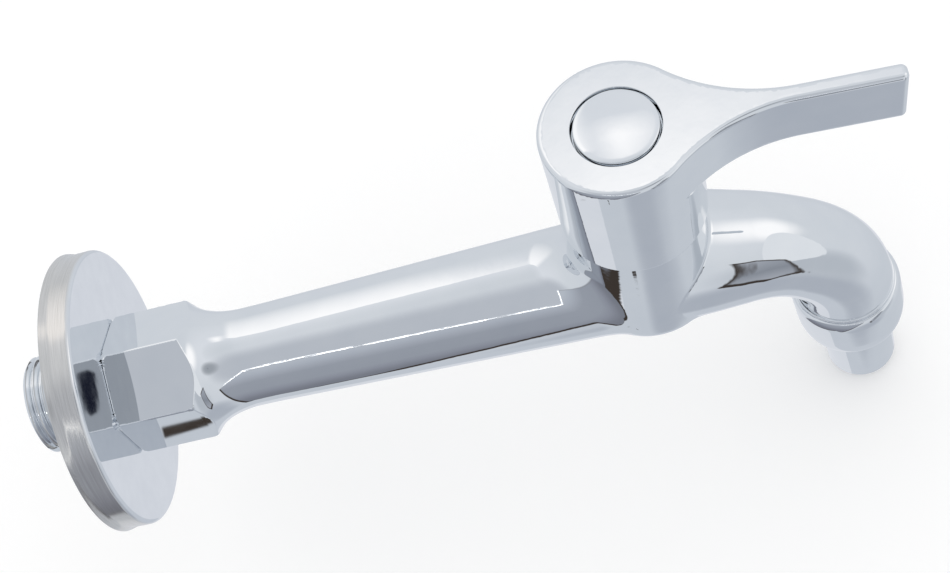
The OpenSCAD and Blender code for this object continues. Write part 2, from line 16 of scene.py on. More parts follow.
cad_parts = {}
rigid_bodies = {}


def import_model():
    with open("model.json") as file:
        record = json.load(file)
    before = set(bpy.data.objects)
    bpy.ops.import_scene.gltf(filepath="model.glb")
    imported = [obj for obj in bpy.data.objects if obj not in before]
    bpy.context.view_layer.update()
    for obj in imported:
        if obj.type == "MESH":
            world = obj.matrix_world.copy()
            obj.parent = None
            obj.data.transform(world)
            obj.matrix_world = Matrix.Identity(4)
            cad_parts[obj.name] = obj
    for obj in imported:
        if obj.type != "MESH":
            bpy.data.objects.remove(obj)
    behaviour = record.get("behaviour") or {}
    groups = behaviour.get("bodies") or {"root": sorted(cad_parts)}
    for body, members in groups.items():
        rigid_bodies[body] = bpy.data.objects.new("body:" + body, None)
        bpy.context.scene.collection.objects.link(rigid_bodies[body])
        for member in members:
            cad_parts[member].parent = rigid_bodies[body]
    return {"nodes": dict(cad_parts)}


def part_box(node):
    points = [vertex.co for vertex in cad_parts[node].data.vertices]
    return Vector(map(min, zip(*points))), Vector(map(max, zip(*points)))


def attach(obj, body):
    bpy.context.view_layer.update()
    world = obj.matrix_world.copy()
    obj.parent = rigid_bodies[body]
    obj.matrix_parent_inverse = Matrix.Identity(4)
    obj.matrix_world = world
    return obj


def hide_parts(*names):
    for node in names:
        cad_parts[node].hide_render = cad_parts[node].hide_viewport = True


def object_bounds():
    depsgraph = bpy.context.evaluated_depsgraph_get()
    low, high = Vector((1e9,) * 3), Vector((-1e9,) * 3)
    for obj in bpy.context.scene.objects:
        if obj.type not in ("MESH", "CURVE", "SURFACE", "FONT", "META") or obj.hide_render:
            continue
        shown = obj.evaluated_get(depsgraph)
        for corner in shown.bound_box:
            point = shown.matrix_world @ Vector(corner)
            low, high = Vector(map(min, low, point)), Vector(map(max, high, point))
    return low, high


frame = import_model()
cad_low, cad_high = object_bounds()
scene = bpy.context.scene
print("construction box in mm:", [round(1000 * v, 1) for v in (*cad_low, *cad_high)])

# %% [markdown]
# ## The camera
# The photograph looks down on the tap from its right, with the camera rolled so that the barrel
# climbs across the picture. One could place the camera by eye. Here its angles come from matching
# the round flange, the cap and the hub, so that the render can be laid over the photograph.

# %% The camera
CAMERA_PLACE = Vector((0.11585, -0.14810, 0.27812))
CAMERA_AZIMUTH = -77.773
CAMERA_HEIGHT = 60.733
CAMERA_ROLL = -23.808
LENS = 58.02


def direction(azimuth, height):
    """A direction from two angles in degrees: round from the x axis, and up from the level."""
    a, e = math.radians(azimuth), math.radians(height)
    return Vector((math.cos(a) * math.cos(e), math.sin(a) * math.cos(e), math.sin(e)))


def facing_axes(azimuth, height, turn):
    """Right, up and outward of a picture that faces a direction and is turned in its plane."""
    outward, level = direction(azimuth, height), direction(azimuth + 90, 0)
    t = math.radians(turn)
    right = math.cos(t) * level + math.sin(t) * outward.cross(level)
    return right, outward.cross(right), outward


camera = bpy.data.objects.new("camera", bpy.data.cameras.new("camera"))
camera.data.lens = LENS
camera.data.sensor_width = 36
camera.data.clip_start = 0.01
camera.data.clip_end = 20
turn = Matrix(facing_axes(CAMERA_AZIMUTH, CAMERA_HEIGHT, CAMERA_ROLL)).transposed()
camera.matrix_world = Matrix.Translation(CAMERA_PLACE) @ turn.to_4x4()
scene.collection.objects.link(camera)
scene.camera = camera
print("camera", round(1000 * CAMERA_PLACE.length), "mm from where the inlet meets the wall")

# %% [markdown]
# ## The tap's main sizes
# Everything below is built in millimetres and scaled to metres when a piece is finished. The sizes
# that belong to the whole tap stand here, and a piece's own sizes stand in its cell. What the
# construction model's boxes give is read from them.

# %% The main sizes
MM = 0.001


def box_mm(node):
    low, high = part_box(node)
    return low / MM, high / MM


_, flange_high = box_mm("wall_flange")
_, body_high = box_mm("tap_body")
handle_low, handle_high = box_mm("lever_handle")
cap_low, cap_high = box_mm("index_cap")

HEX_X = flange_high.x
HEX_LENGTH = 16.6
HEX_ACROSS = 25.6
NECK_LENGTH = 10.9
NECK_END = HEX_X + HEX_LENGTH + NECK_LENGTH
BARREL_SMALL = 10.4
BARREL_LARGE = 12.65
VALVE_X = (cap_low.x + cap_high.x) / 2
POT_RADIUS = 14.3
POT_DEPTH = 9.6
POT_GIRTH_Z = -3.0
POT_ROUND = 3.0
HOUSING_TOP = 12.75
HOUSING_HEIGHT = body_high.z
SPOUT_RISE = 3.2
SPOUT_SLOPE = math.radians(13)
SPOUT_LEAD = 19.8
SPOUT_RADIUS = 10.45
ROOT_RADIUS = 13.4
TAPER_START = 3.5
TAPER_END = 33.0
BEND_RADIUS = 28.1
OUTLET_TILT = math.radians(7)
LIP_LENGTH = 1.2
valve_foot = Vector((VALVE_X, 0, 0))
print("valve axis at", round(VALVE_X, 2), "housing top at", round(HOUSING_HEIGHT, 2))

# %% [markdown]
# ## The spout's line
# The spout leaves the valve's axis on a slope, runs straight, bends through a circular arc and ends
# in the outlet's straight line. Its line lies in the plane y = 0, so it takes two directions and
# one centre.

# %% The spout's line
lead_start = Vector((VALVE_X, 0, SPOUT_RISE))
lead_direction = Vector((math.cos(SPOUT_SLOPE), 0, -math.sin(SPOUT_SLOPE)))
lead_end = lead_start + SPOUT_LEAD * lead_direction
bend_centre = lead_end - BEND_RADIUS * Vector((math.sin(SPOUT_SLOPE), 0, math.cos(SPOUT_SLOPE)))
bend_turn = math.radians(90) - SPOUT_SLOPE - OUTLET_TILT
outlet = Vector((math.sin(OUTLET_TILT), 0, -math.cos(OUTLET_TILT)))
bend_end = bend_centre + BEND_RADIUS * Vector((math.cos(OUTLET_TILT), 0, math.sin(OUTLET_TILT)))
print("outlet begins at", [round(v, 2) for v in bend_end])

# %% [markdown]
# ## Where the turned pieces stand
# A piece that is turned on a lathe is drawn as half an outline, radius against height, and spun. A
# matrix then stands it up on the inlet's line, the valve's axis or the outlet's line.

# %% Placing matrices
lead_place = Matrix.Translation(lead_start) @ Matrix.Rotation(math.pi / 2 + SPOUT_SLOPE, 4, "Y")


def on_inlet(x=0.0):
    return Matrix.Translation((x, 0, 0)) @ Matrix.Rotation(math.pi / 2, 4, "Y")


def on_valve(z=0.0):
    return Matrix.Translation((VALVE_X, 0, z))


def on_outlet(s=0.0):
    aim = Matrix.Rotation(-OUTLET_TILT, 4, "Y") @ Matrix.Rotation(math.pi, 4, "X")
    return Matrix.Translation(bend_end) @ aim @ Matrix.Translation((0, 0, s))


# %% [markdown]
# ## Outlines with round corners
# A lathe tool never leaves a perfectly sharp corner, and a mirror shows every corner as a bright or
# dark line. The corners could be bevelled after spinning. It is simpler to round them in the
# outline, because there a corner is just one arc.


# %% Round corners and spinning
def oval(centre, wide, high, start, end, steps=16):
    """Points of an oval's arc between two angles in degrees, as (radius, height) pairs."""
    turns = [math.radians(start + (end - start) * i / steps) for i in range(steps + 1)]
    return [(centre[0] + wide * math.cos(a), centre[1] + high * math.sin(a)) for a in turns]


def arc(centre, radius, start, end, steps=8):
    return oval(centre, radius, radius, start, end, steps)


def stairs(r, h, *moves):
    """Points from a start, as each move sets a new radius and a new height in turn."""
    points = [(r, h)]
    for i, value in enumerate(moves):
        r, h = (value, h) if i % 2 == 0 else (r, value)
        points.append((r, h))
    return points


def spun(bm, parts, place, **spin):
    """Spins the parts of a mesh, merges what meets and stands the result up."""
    bmesh.ops.spin(bm, geom=parts, **spin)
    bmesh.ops.remove_doubles(bm, verts=bm.verts, dist=1e-4)
    bmesh.ops.recalc_face_normals(bm, faces=bm.faces)
    bm.transform(place)
    return bm


ABOUT_Z = {"cent": (0, 0, 0), "axis": (0, 0, 1)}


def turned(outline, place, steps=180, closed=False):
    """A solid of revolution. An open outline starts and ends on the axis."""
    bm = bmesh.new()
    verts = [bm.verts.new((r, 0, h)) for r, h in outline]
    pairs = list(zip(verts, verts[1:] + verts[:1] if closed else verts[1:]))
    edges = [bm.edges.new(pair) for pair in pairs]
    return spun(bm, verts + edges, place, angle=2 * math.pi, steps=steps, use_merge=True, **ABOUT_Z)


# %% [markdown]
# ## Solids, cuts and joints
# A bmesh becomes a scratch object when another solid has to be added to it or cut from it.
# Blender's manifold solver does that in a moment on closed meshes, and keeps them closed.


# %% Scratch solids
def as_object(bm):
    mesh = bpy.data.meshes.new("scratch")
    bm.to_mesh(mesh)
    bm.free()
    obj = bpy.data.objects.new("scratch", mesh)
    scene.collection.objects.link(obj)
    return obj


def as_bmesh(obj):
    bm = bmesh.new()
    bm.from_mesh(obj.data)
    bpy.data.objects.remove(obj)
    return bm


def modified(obj, kind, **settings):
    """Applies one modifier."""
    modifier = obj.modifiers.new(kind, kind)
    for name, value in settings.items():
        setattr(modifier, name, value)
    bpy.context.view_layer.update()
    whole = obj.evaluated_get(bpy.context.evaluated_depsgraph_get())
    mesh = bpy.data.meshes.new_from_object(whole)
    obj.modifiers.clear()
    old, obj.data = obj.data, mesh
    bpy.data.meshes.remove(old)
    return obj


def combine(base, tool, operation):
    """Adds the bmesh tool to the object base, or cuts it away."""
    other = as_object(tool)
    modified(base, "BOOLEAN", operation=operation, solver="MANIFOLD", object=other)
    bpy.data.objects.remove(other)


# %% [markdown]
# ## Castings as formulas
# The body and the lever are castings: their parts flow into each other through small hollow
# fillets, and every edge is rounded by the polishing wheel. Bevelling the seam of a boolean breaks
# down where two round bodies meet at a grazing angle, and a remeshed seam is full of ripples that
# chrome would show. So a casting is described by a formula that gives, for any point, how far it
# lies outside the metal and in which direction. A rough solid is remeshed evenly, and its points
# are then settled onto the formula's surface. The directions become the mesh's normals, so the
# mirror is exact. Every surface below is such a pair of distances and directions.


# %% Joining surfaces
def unit(v):
    return v / np.maximum(np.linalg.norm(v, axis=1, keepdims=True), 1e-12)


def either(choice, first, second):
    """The first surface where the choice holds, and the second elsewhere."""
    return np.where(choice, first[0], second[0]), np.where(choice[:, None], first[1], second[1])


def joined(first, second, radius):
    """Two bodies with a hollow fillet between them, as a rolling ball would leave it."""
    (a, na), (b, nb) = first, second
    cosine = np.clip(np.sum(na * nb, axis=1), -1, 1)
    sine2 = 1 - cosine**2
    safe = np.maximum(sine2, 1e-9)
    u, v = a - radius, b - radius
    alpha = (cosine * v - u) / safe
    beta = (cosine * u - v) / safe
    length = np.sqrt(np.maximum(u * u + v * v - 2 * cosine * u * v, 0) / safe)
    fills = (alpha > 0) & (beta > 0) & (sine2 > 1e-6) & (length > 1e-9)
    fillet = radius - length, unit(alpha[:, None] * na + beta[:, None] * nb)
    return either(fills, fillet, either(a < b, first, second))


def trimmed(first, second, radius):
    """What two bodies share, with the edge between them rounded."""
    d, n = joined((-first[0], -first[1]), (-second[0], -second[1]), radius)
    return -d, -n


# %% [markdown]
# ## Simple surfaces
# A casting's parts are planes and round sides. A round side may taper along its axis, and its slope
# may set in gently. An oval has no simple distance, but its level divided by how steeply the level
# changes comes close enough, and the point walks the rest of the way.


# %% Simple surfaces
ACROSS_X = [1, 2]
ACROSS_Z = [0, 1]


def plane(p, point, outward):
    n = np.array(outward, float)
    return (p - np.array(point)) @ n, np.tile(n, (len(p), 1))


def around(p, across):
    """Distance and direction from an axis, given the numbers of the two coordinates across it."""
    r = np.hypot(*p[:, across].T)
    out = np.zeros_like(p)
    out[:, across] = p[:, across] / np.maximum(r, 1e-9)[:, None]
    return r, out


def tapered(r, out, radius, slope, along):
    """A round side whose radius grows by the slope along its axis."""
    return (r - radius) / np.sqrt(1 + slope**2), unit(out - slope[:, None] * along)


def eased(t, slope, start):
    """Height and slope of a straight rise that sets in gently over its first stretch."""
    t = np.maximum(t, 0)
    ramp = np.minimum(t, start)
    return slope * (ramp**2 / (2 * start) + t - ramp), slope * ramp / start


def smooth_rise(t):
    """An S-curve from 0 to 1 and its slope."""
    t = np.clip(t, 0, 1)
    return t * t * (3 - 2 * t), 6 * t * (1 - t)


def oval_level(u, v, wide, high):
    """Distance from an oval and its direction's two parts. u and v are shares of its radii."""
    level = np.maximum(np.hypot(u, v), 1e-6)
    gu, gv = u / wide / level, v / high / level
    steep = np.maximum(np.hypot(gu, gv), 1e-9)
    return (level - 1) / steep, (gu / steep)[:, None], (gv / steep)[:, None]


# %% [markdown]
# ## Settling a mesh
# Each point walks down the distance until it lies on the surface. Edges that turn sharply are
# split, so that a rounded edge of a third of a millimetre gets its own faces while a plain stretch
# keeps half-millimetre ones. A little smoothing between the rounds keeps the triangles even.


# %% Settling
def settle_points(points, surface, steps=6):
    for _ in range(steps):
        d, n = surface(points)
        points = points - np.clip(d, -1, 1)[:, None] * n
    return points, surface(points)[1]


def settle(bm, surface, rounds, turn=14.0, shortest=0.1):
    """Moves the mesh onto the surface and splits the edges that turn by more than the angle."""
    all_axes = {"use_axis_x": True, "use_axis_y": True, "use_axis_z": True}
    bmesh.ops.triangulate(bm, faces=bm.faces)
    for i in range(rounds + 1):
        for _ in range(2):
            bmesh.ops.smooth_vert(bm, verts=bm.verts, factor=0.5, **all_axes)
            points, normals = settle_points(np.array([v.co for v in bm.verts], float), surface)
            for v, co in zip(bm.verts, points):
                v.co = co
        if i == rounds:
            break
        bm.verts.index_update()
        ends = np.array([[v.index for v in e.verts] for e in bm.edges])
        length = np.linalg.norm(points[ends[:, 0]] - points[ends[:, 1]], axis=1)
        cosine = np.sum(normals[ends[:, 0]] * normals[ends[:, 1]], axis=1)
        sharp = (cosine < math.cos(math.radians(turn))) & (length > 2 * shortest)
        bmesh.ops.subdivide_edges(bm, edges=[e for e, s in zip(bm.edges, sharp) if s], cuts=1)
        bmesh.ops.triangulate(bm, faces=[f for f in bm.faces if len(f.verts) > 3])
    return bm


def remeshed(obj, size):
    """The object's outer skin as even faces of the given size."""
    return as_bmesh(modified(obj, "REMESH", mode="VOXEL", voxel_size=size, adaptivity=0))


# %% [markdown]
# ## Hexagon, neck and barrel
# The spanner hexagon runs out into a hollow neck, turned with a round tool: an oval's quarter that
# ends along the barrel. The neck cuts the hexagon's flats in curves. The barrel is a long cone that
# grows towards the valve.

# %% Hexagon, neck and barrel
EDGE = 0.35
HEX_CORNER = HEX_ACROSS / 2 / math.cos(math.radians(30))
NECK_FLARE = HEX_CORNER + 0.57
BARREL_SLOPE = (BARREL_LARGE - BARREL_SMALL) / (VALVE_X - NECK_END)
SLOPE_START = 6.0


def hexagon_side(p):
    """The six flats, whose corners are rounded. Two corners point up and down."""
    half, sixth = math.radians(30), math.radians(60)
    sector = np.round((np.arctan2(p[:, 1], p[:, 2]) - half) / sixth) * sixth + half
    along = np.stack([0 * sector, np.sin(sector), np.cos(sector)], axis=1)
    across = np.stack([0 * sector, np.cos(sector), -np.sin(sector)], axis=1)
    inset = HEX_ACROSS / 2 - EDGE
    height = np.sum(p * along, axis=1) - inset
    side = np.sum(p * across, axis=1)
    over = np.sign(side) * np.maximum(np.abs(side) - inset * math.tan(half), 0)
    rise = np.maximum(height, 0)
    corner = np.hypot(rise, over) - EDGE, unit(rise[:, None] * along + over[:, None] * across)
    return either((height > 0) & (over != 0), corner, (height - EDGE, along))


def neck_groove(p):
    """The hollow that the neck's oval turns out of the metal."""
    r, out = around(p, ACROSS_X)
    depth = NECK_FLARE - BARREL_SMALL
    u, v = (NECK_END - p[:, 0]) / NECK_LENGTH, (NECK_FLARE - r) / depth
    d, along, across = oval_level(u, v, NECK_LENGTH, depth)
    return -d, along * (1, 0, 0) + across * out


def cone_side(p):
    """The barrel, whose slope sets in gently after the neck. A ball ends it at the valve."""
    growth, slope = eased(p[:, 0] - NECK_END, BARREL_SLOPE, SLOPE_START)
    cone = tapered(*around(p, ACROSS_X), BARREL_SMALL + growth, slope, (1, 0, 0))
    ball = p - np.array(valve_foot)
    end = np.linalg.norm(ball, axis=1) - BARREL_LARGE, unit(ball)
    return either(p[:, 0] > VALVE_X, end, cone)


def stem(p):
    """Hexagon, neck and barrel, which follow each other along the inlet's line."""
    flats = trimmed(hexagon_side(p), neck_groove(p), EDGE)
    flats = trimmed(flats, plane(p, (HEX_X, 0, 0), (-1, 0, 0)), EDGE)
    return either(p[:, 0] < NECK_END, flats, cone_side(p))


# %% [markdown]
# ## Valve housing and spout
# The housing is a pot with a flat oval bottom. Its wall draws in by a millimetre and a half from
# its girth to its top, as a casting's draft does. That is too little to see as a shape, but it
# bends the dark reflection at the barrel's end round into a hook, as in the photograph. The spout
# leaves the pot thick and tapers to an even tube, which bends down to the outlet. Radii that change
# do so smoothly, because a kink in a slope shows in chrome as a break in every reflection.

# %% Housing and spout
BARREL_FILLET = 10.0
SPOUT_FILLET_TOP = 1.4
SPOUT_FILLET_FOOT = 12.0
FILLET_DEPTH = 8.0
RIM_EDGE = 0.4


def housing(p):
    q = p - np.array(valve_foot)
    r, out = around(q, ACROSS_Z)
    z = q[:, 2] - POT_GIRTH_Z
    draft = (HOUSING_TOP - POT_RADIUS) / (HOUSING_HEIGHT - POT_GIRTH_Z - POT_ROUND / 2)
    growth, slope = eased(z, draft, POT_ROUND)
    wall = tapered(r, out, POT_RADIUS + growth, slope, (0, 0, 1))
    bottom = POT_DEPTH + POT_GIRTH_Z
    d, sideways, upward = oval_level(r / POT_RADIUS, z / bottom, POT_RADIUS, bottom)
    return either(z < 0, (d, sideways * out + upward * (0, 0, 1)), wall)


def spout(p):
    """A tube about the spout's line. s is how far along the line a point lies."""
    lead = (p - np.array(lead_start)) @ np.array(lead_direction)
    from_centre = p - np.array(bend_centre)
    angle = np.arctan2(from_centre[:, 0], from_centre[:, 2]) - SPOUT_SLOPE
    angle = np.where(lead > SPOUT_LEAD, np.clip(angle, 0, bend_turn), 0)
    out = np.array([np.sin(angle + SPOUT_SLOPE), 0 * angle, np.cos(angle + SPOUT_SLOPE)]).T
    along = np.array([out[:, 2], 0 * angle, -out[:, 0]]).T
    straight = np.clip(lead, 0, SPOUT_LEAD)[:, None] * np.array(lead_direction)
    bent = np.array(bend_centre) + BEND_RADIUS * out
    foot = np.where((lead < SPOUT_LEAD)[:, None], straight + np.array(lead_start), bent)
    tail = np.maximum(np.sum((p - np.array(bend_end)) * np.array(outlet), axis=1), 0)
    tail = np.where(angle >= bend_turn, tail, 0)
    radial = p - (foot + tail[:, None] * np.array(outlet))
    s = np.minimum(lead, SPOUT_LEAD) + BEND_RADIUS * angle + tail
    length, change = TAPER_END - TAPER_START, SPOUT_RADIUS - ROOT_RADIUS
    rise, slope = smooth_rise((s - TAPER_START) / length)
    radius = ROOT_RADIUS + change * rise
    reach = np.linalg.norm(radial, axis=1)
    return tapered(reach, unit(radial), radius, slope * change / length, along)


def casting(p):
    pot = joined(stem(p), housing(p), BARREL_FILLET)
    towards_foot = smooth_rise(-p[:, 2] / FILLET_DEPTH)[0]
    spout_fillet = SPOUT_FILLET_TOP + (SPOUT_FILLET_FOOT - SPOUT_FILLET_TOP) * towards_foot
    whole = joined(pot, spout(p), spout_fillet)
    whole = trimmed(whole, plane(p, (0, 0, HOUSING_HEIGHT), (0, 0, 1)), RIM_EDGE)
    return trimmed(whole, plane(p, bend_end + LIP_LENGTH * outlet, outlet), RIM_EDGE)


# %% [markdown]
# ## The rough body
# The remesher needs a rough solid first. It is put together from a few operators: a hexagonal
# prism, cones, half an oval ball and the bent tube, which is a circle spun about the bend's centre.


# %% The rough body
def rough_cylinder(radius, length, place, sides=64, end_radius=None):
    bm = bmesh.new()
    radii = {"radius1": radius, "radius2": radius if end_radius is None else end_radius}
    bmesh.ops.create_cone(bm, cap_ends=True, segments=sides, depth=length, **radii)
    bmesh.ops.translate(bm, verts=bm.verts, vec=(0, 0, length / 2))
    bm.transform(place)
    return bm


def rough_bend(radius):
    bm = bmesh.new()
    bmesh.ops.create_circle(bm, cap_ends=True, segments=64, radius=radius)
    bm.transform(lead_place @ Matrix.Translation((0, 0, SPOUT_LEAD)))
    parts = bm.faces[:] + bm.edges[:] + bm.verts[:]
    about_bend = {"cent": bend_centre, "axis": (0, 1, 0), "angle": bend_turn, "steps": 40}
    return spun(bm, parts, Matrix.Identity(4), **about_bend)


BARREL_START = HEX_X + HEX_LENGTH
LEAD_END_RADIUS = 11.3
rough = as_object(rough_cylinder(HEX_CORNER, HEX_LENGTH + 3, on_inlet(HEX_X), sides=6))
for part in (
    rough_cylinder(
        BARREL_SMALL, VALVE_X - BARREL_START, on_inlet(BARREL_START), end_radius=BARREL_LARGE
    ),
    rough_cylinder(POT_RADIUS, HOUSING_HEIGHT, on_valve(), end_radius=HOUSING_TOP),
    turned(oval((0, 0), POT_RADIUS, POT_DEPTH, -90, 0, 24) + [(0, 0)], on_valve(), steps=64),
    rough_cylinder(ROOT_RADIUS, SPOUT_LEAD, lead_place, end_radius=LEAD_END_RADIUS),
    rough_cylinder(SPOUT_RADIUS, LIP_LENGTH, on_outlet()),
    rough_bend(SPOUT_RADIUS),
):
    combine(rough, part, "UNION")
print("rough body:", len(rough.data.polygons), "faces")

# %% [markdown]
# ## Settling the body
# The rough skin is remeshed at just over half a millimetre and settled. The lathe work is then cut
# with booleans. Those cutters keep their own normals, and the casting's come from the formula.

# %% The body's skin
BODY_FACES = 0.6
body_mesh = settle(remeshed(rough, BODY_FACES), casting, rounds=2)
print("body skin:", len(body_mesh.verts), "points")

# %% [markdown]
# ## Threads
# The inlet carries a half-inch pipe thread, 14 turns to the inch, which shows behind the flange. A
# thread is a spun outline that climbs by one pitch in each turn. The stub's core runs inside it.

# %% Threads
PIPE_R = 10.4775
PIPE_PITCH = 1.814
PIPE_DEPTH = 1.16
INLET_REACH = 12.8
CREST_ROUND = 0.12


def thread_tooth(radius, depth, pitch):
    """The outline of one turn: round crest, steep flanks, and a foot inside the core."""
    flat = 0.12 * pitch
    middle = 0.5 * pitch
    rising = [
        (radius - depth - 0.4, 0.02 * pitch),
        (radius - depth, 0.06 * pitch),
        (radius - CREST_ROUND, middle - flat),
        (radius, middle - 0.4 * flat),
    ]
    return rising + [(r, pitch - h) for r, h in reversed(rising)]


def thread(radius, depth, pitch, turns, place, steps=96):
    bm = bmesh.new()
    face = bm.faces.new([bm.verts.new((r, 0, h)) for r, h in thread_tooth(radius, depth, pitch)])
    climb = {"dvec": (0, 0, pitch / steps), "angle": 2 * math.pi * turns}
    parts = [face, *face.edges, *face.verts]
    return spun(bm, parts, place, steps=int(turns * steps), **climb, **ABOUT_Z)


inlet_thread = thread(PIPE_R, PIPE_DEPTH, PIPE_PITCH, 7.3, on_inlet(-INLET_REACH - 1.2))
print("inlet thread:", len(inlet_thread.faces), "faces")

# %% [markdown]
# ## Stub, lip and spigot
# The stub's core fills the thread's inside, and its end is chamfered. At the outlet a thin collar
# stops the nut, and the spigot below it carries the nut's thread, which shows once the nut is off.

# %% Stub, lip and spigot
CHAMFER = 0.3
UNDERCUT = HEX_X - 2
UNDERCUT_RADIUS = PIPE_R - 1
STUB_CORE = PIPE_R - PIPE_DEPTH - 0.1
TRIM_RADIUS = PIPE_R + 0.2
LIP_RADIUS = SPOUT_RADIUS + 0.35
LIP_ROUND = 0.2
SPIGOT_RADIUS = 9.6
SPIGOT_CORE = SPIGOT_RADIUS - 0.85
SPIGOT_PITCH = 1.5
SPIGOT_END = 9.3

stub = turned(
    [(0, -INLET_REACH), (STUB_CORE - CHAMFER, -INLET_REACH), (STUB_CORE, -INLET_REACH + CHAMFER)]
    + [(STUB_CORE, UNDERCUT + 0.4), (UNDERCUT_RADIUS, UNDERCUT + 0.5)]
    + [(UNDERCUT_RADIUS, HEX_X + 1), (0, HEX_X + 1)],
    on_inlet(),
    steps=96,
)
thread_trim = turned(
    [(0, -INLET_REACH), (TRIM_RADIUS - 1, -INLET_REACH), (TRIM_RADIUS, -INLET_REACH + 1)]
    + [(TRIM_RADIUS, UNDERCUT), (0, UNDERCUT)],
    on_inlet(),
    steps=96,
)
lip = turned(
    [(0, 0.3)]
    + arc((LIP_RADIUS - LIP_ROUND, 0.3 + LIP_ROUND), LIP_ROUND, -90, 0, 4)
    + arc((LIP_RADIUS - LIP_ROUND, 1.3 - LIP_ROUND), LIP_ROUND, 0, 90, 4)
    + [(0, 1.3)],
    on_outlet(),
)
spigot = turned(
    [(0, 0), (SPIGOT_CORE, 0), (SPIGOT_CORE, SPIGOT_END - CHAMFER)]
    + [(SPIGOT_CORE - CHAMFER, SPIGOT_END), (0, SPIGOT_END)],
    on_outlet(),
    steps=96,
)
spigot_thread = thread(SPIGOT_RADIUS, 0.75, SPIGOT_PITCH, 5, on_outlet(1.4))
print("faces to add:", [len(part.faces) for part in (stub, lip, spigot, spigot_thread)])

# %% [markdown]
# ## Joining the body's parts
# The threads are cut to length where the stub is chamfered, then everything is added to the skin.

# %% Joining the body
threads = as_object(inlet_thread)
combine(threads, thread_trim, "INTERSECT")
body = as_object(body_mesh)
for part in (stub, lip, spigot, spigot_thread, as_bmesh(threads)):
    combine(body, part, "UNION")
print("body joined:", len(body.data.polygons), "faces")

# %% [markdown]
# ## The waterway
# Water runs in through the barrel, down a cross passage, up through the seat into the well that
# holds the cartridge, and out of the well's side into the spout. These are drilled holes, so each
# is a round cutter. The bend's bore is cast and follows the spout's line.

# %% The waterway
SEAT_Z = 1.0
SEAT_BORE = 5.0
WELL_RADIUS = 10.08
WELL_TOP = 13.4
THREAD_BORE = 10.53
WASHER_BORE = 12.3
WASHER_DEPTH = 1.0
INLET_BORE = 6.5
INLET_WALL = 4.0
PASSAGE_RADIUS = 4.0
PASSAGE_Z = SEAT_Z - 2 - PASSAGE_RADIUS
SPOUT_BORE = 6.3
SPOUT_BORE_START = 9.6
inlet_bore_end = VALVE_X - WELL_RADIUS - INLET_WALL
washer_z = HOUSING_HEIGHT - WASHER_DEPTH
cuts = [
    rough_cylinder(
        INLET_BORE, INLET_REACH + 1 + inlet_bore_end, on_inlet(-INLET_REACH - 1), sides=96
    ),
    rough_cylinder(
        PASSAGE_RADIUS,
        PASSAGE_RADIUS + INLET_WALL + WELL_RADIUS,
        Matrix.Translation((0, 0, PASSAGE_Z)) @ on_inlet(inlet_bore_end - PASSAGE_RADIUS),
    ),
    rough_cylinder(
        SEAT_BORE,
        SEAT_Z + 0.1 - PASSAGE_Z + PASSAGE_RADIUS,
        on_valve(PASSAGE_Z - PASSAGE_RADIUS + 0.1),
    ),
    turned(
        stairs(0, SEAT_Z, WELL_RADIUS, WELL_TOP, THREAD_BORE, washer_z, WASHER_BORE)
        + [(WASHER_BORE, HOUSING_HEIGHT + 1), (0, HOUSING_HEIGHT + 1)],
        on_valve(),
        steps=96,
    ),
    rough_cylinder(
        SPOUT_BORE,
        SPOUT_LEAD - SPOUT_BORE_START + 0.1,
        lead_place @ Matrix.Translation((0, 0, SPOUT_BORE_START)),
    ),
    rough_bend(SPOUT_BORE - 0.01),
    rough_cylinder(SPOUT_BORE, SPIGOT_END + 2, on_outlet(-0.5)),
]
for cut in cuts:
    combine(body, cut, "DIFFERENCE")
print("body cut:", len(body.data.polygons), "faces")

# %% [markdown]
# ## Normals from the formula
# Where the mesh lies on the casting it takes the formula's directions. Everything else is smoothed
# up to an angle, as usual. A normal of zero tells Blender to work that corner out by itself.


# %% Normals and finishing
def read(items, attribute, kind, width=1):
    values = np.empty(len(items) * width, kind)
    items.foreach_get(attribute, values)
    return values.reshape(-1, width) if width > 1 else values


def exact_normals(mesh, surface, near=0.03, agreement=0.7):
    """Gives the faces on the surface its normals. Returns their share of all corners."""
    d, n = surface(read(mesh.vertices, "co", float, 3) / MM)
    corner = read(mesh.loops, "vertex_index", int)
    count = read(mesh.polygons, "loop_total", int)
    facing = np.repeat(read(mesh.polygons, "normal", float, 3), count, axis=0)
    agrees = (np.abs(d[corner]) < near) & (np.sum(facing * n[corner], axis=1) > agreement)
    start = np.concatenate([[0], np.cumsum(count)[:-1]])
    whole = np.repeat(np.logical_and.reduceat(agrees, start), count)
    mesh.normals_split_custom_set(np.where(whole[:, None], n[corner], 0).tolist())
    return whole.mean()


def finish_piece(obj, name, node, body_name, surface=None):
    """Cleans the mesh, scales it to metres, smooths it and ties it to its body."""
    bm = bmesh.new()
    bm.from_mesh(obj.data)
    bmesh.ops.remove_doubles(bm, verts=bm.verts, dist=2e-4)
    bmesh.ops.dissolve_degenerate(bm, edges=bm.edges, dist=1e-4)
    bmesh.ops.triangulate(bm, faces=[f for f in bm.faces if len(f.verts) > 4])
    bmesh.ops.recalc_face_normals(bm, faces=bm.faces)
    bmesh.ops.scale(bm, verts=bm.verts, vec=(MM, MM, MM))
    open_edges = sum(not e.is_manifold for e in bm.edges)
    bm.to_mesh(obj.data)
    bm.free()
    mesh = obj.data
    mesh.materials.clear()
    mesh.polygons.foreach_set("material_index", [0] * len(mesh.polygons))
    mesh.shade_smooth()
    mesh.set_sharp_from_angle(angle=math.radians(30))
    share = exact_normals(mesh, surface) if surface else 0
    obj.name = mesh.name = name
    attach(obj, body_name)
    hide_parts(node)
    print(f"{name}: {len(mesh.polygons)} faces, {open_edges} open edges, {share:.0%} exact")


finish_piece(body, "tap_body_chrome", "tap_body", "tap", casting)

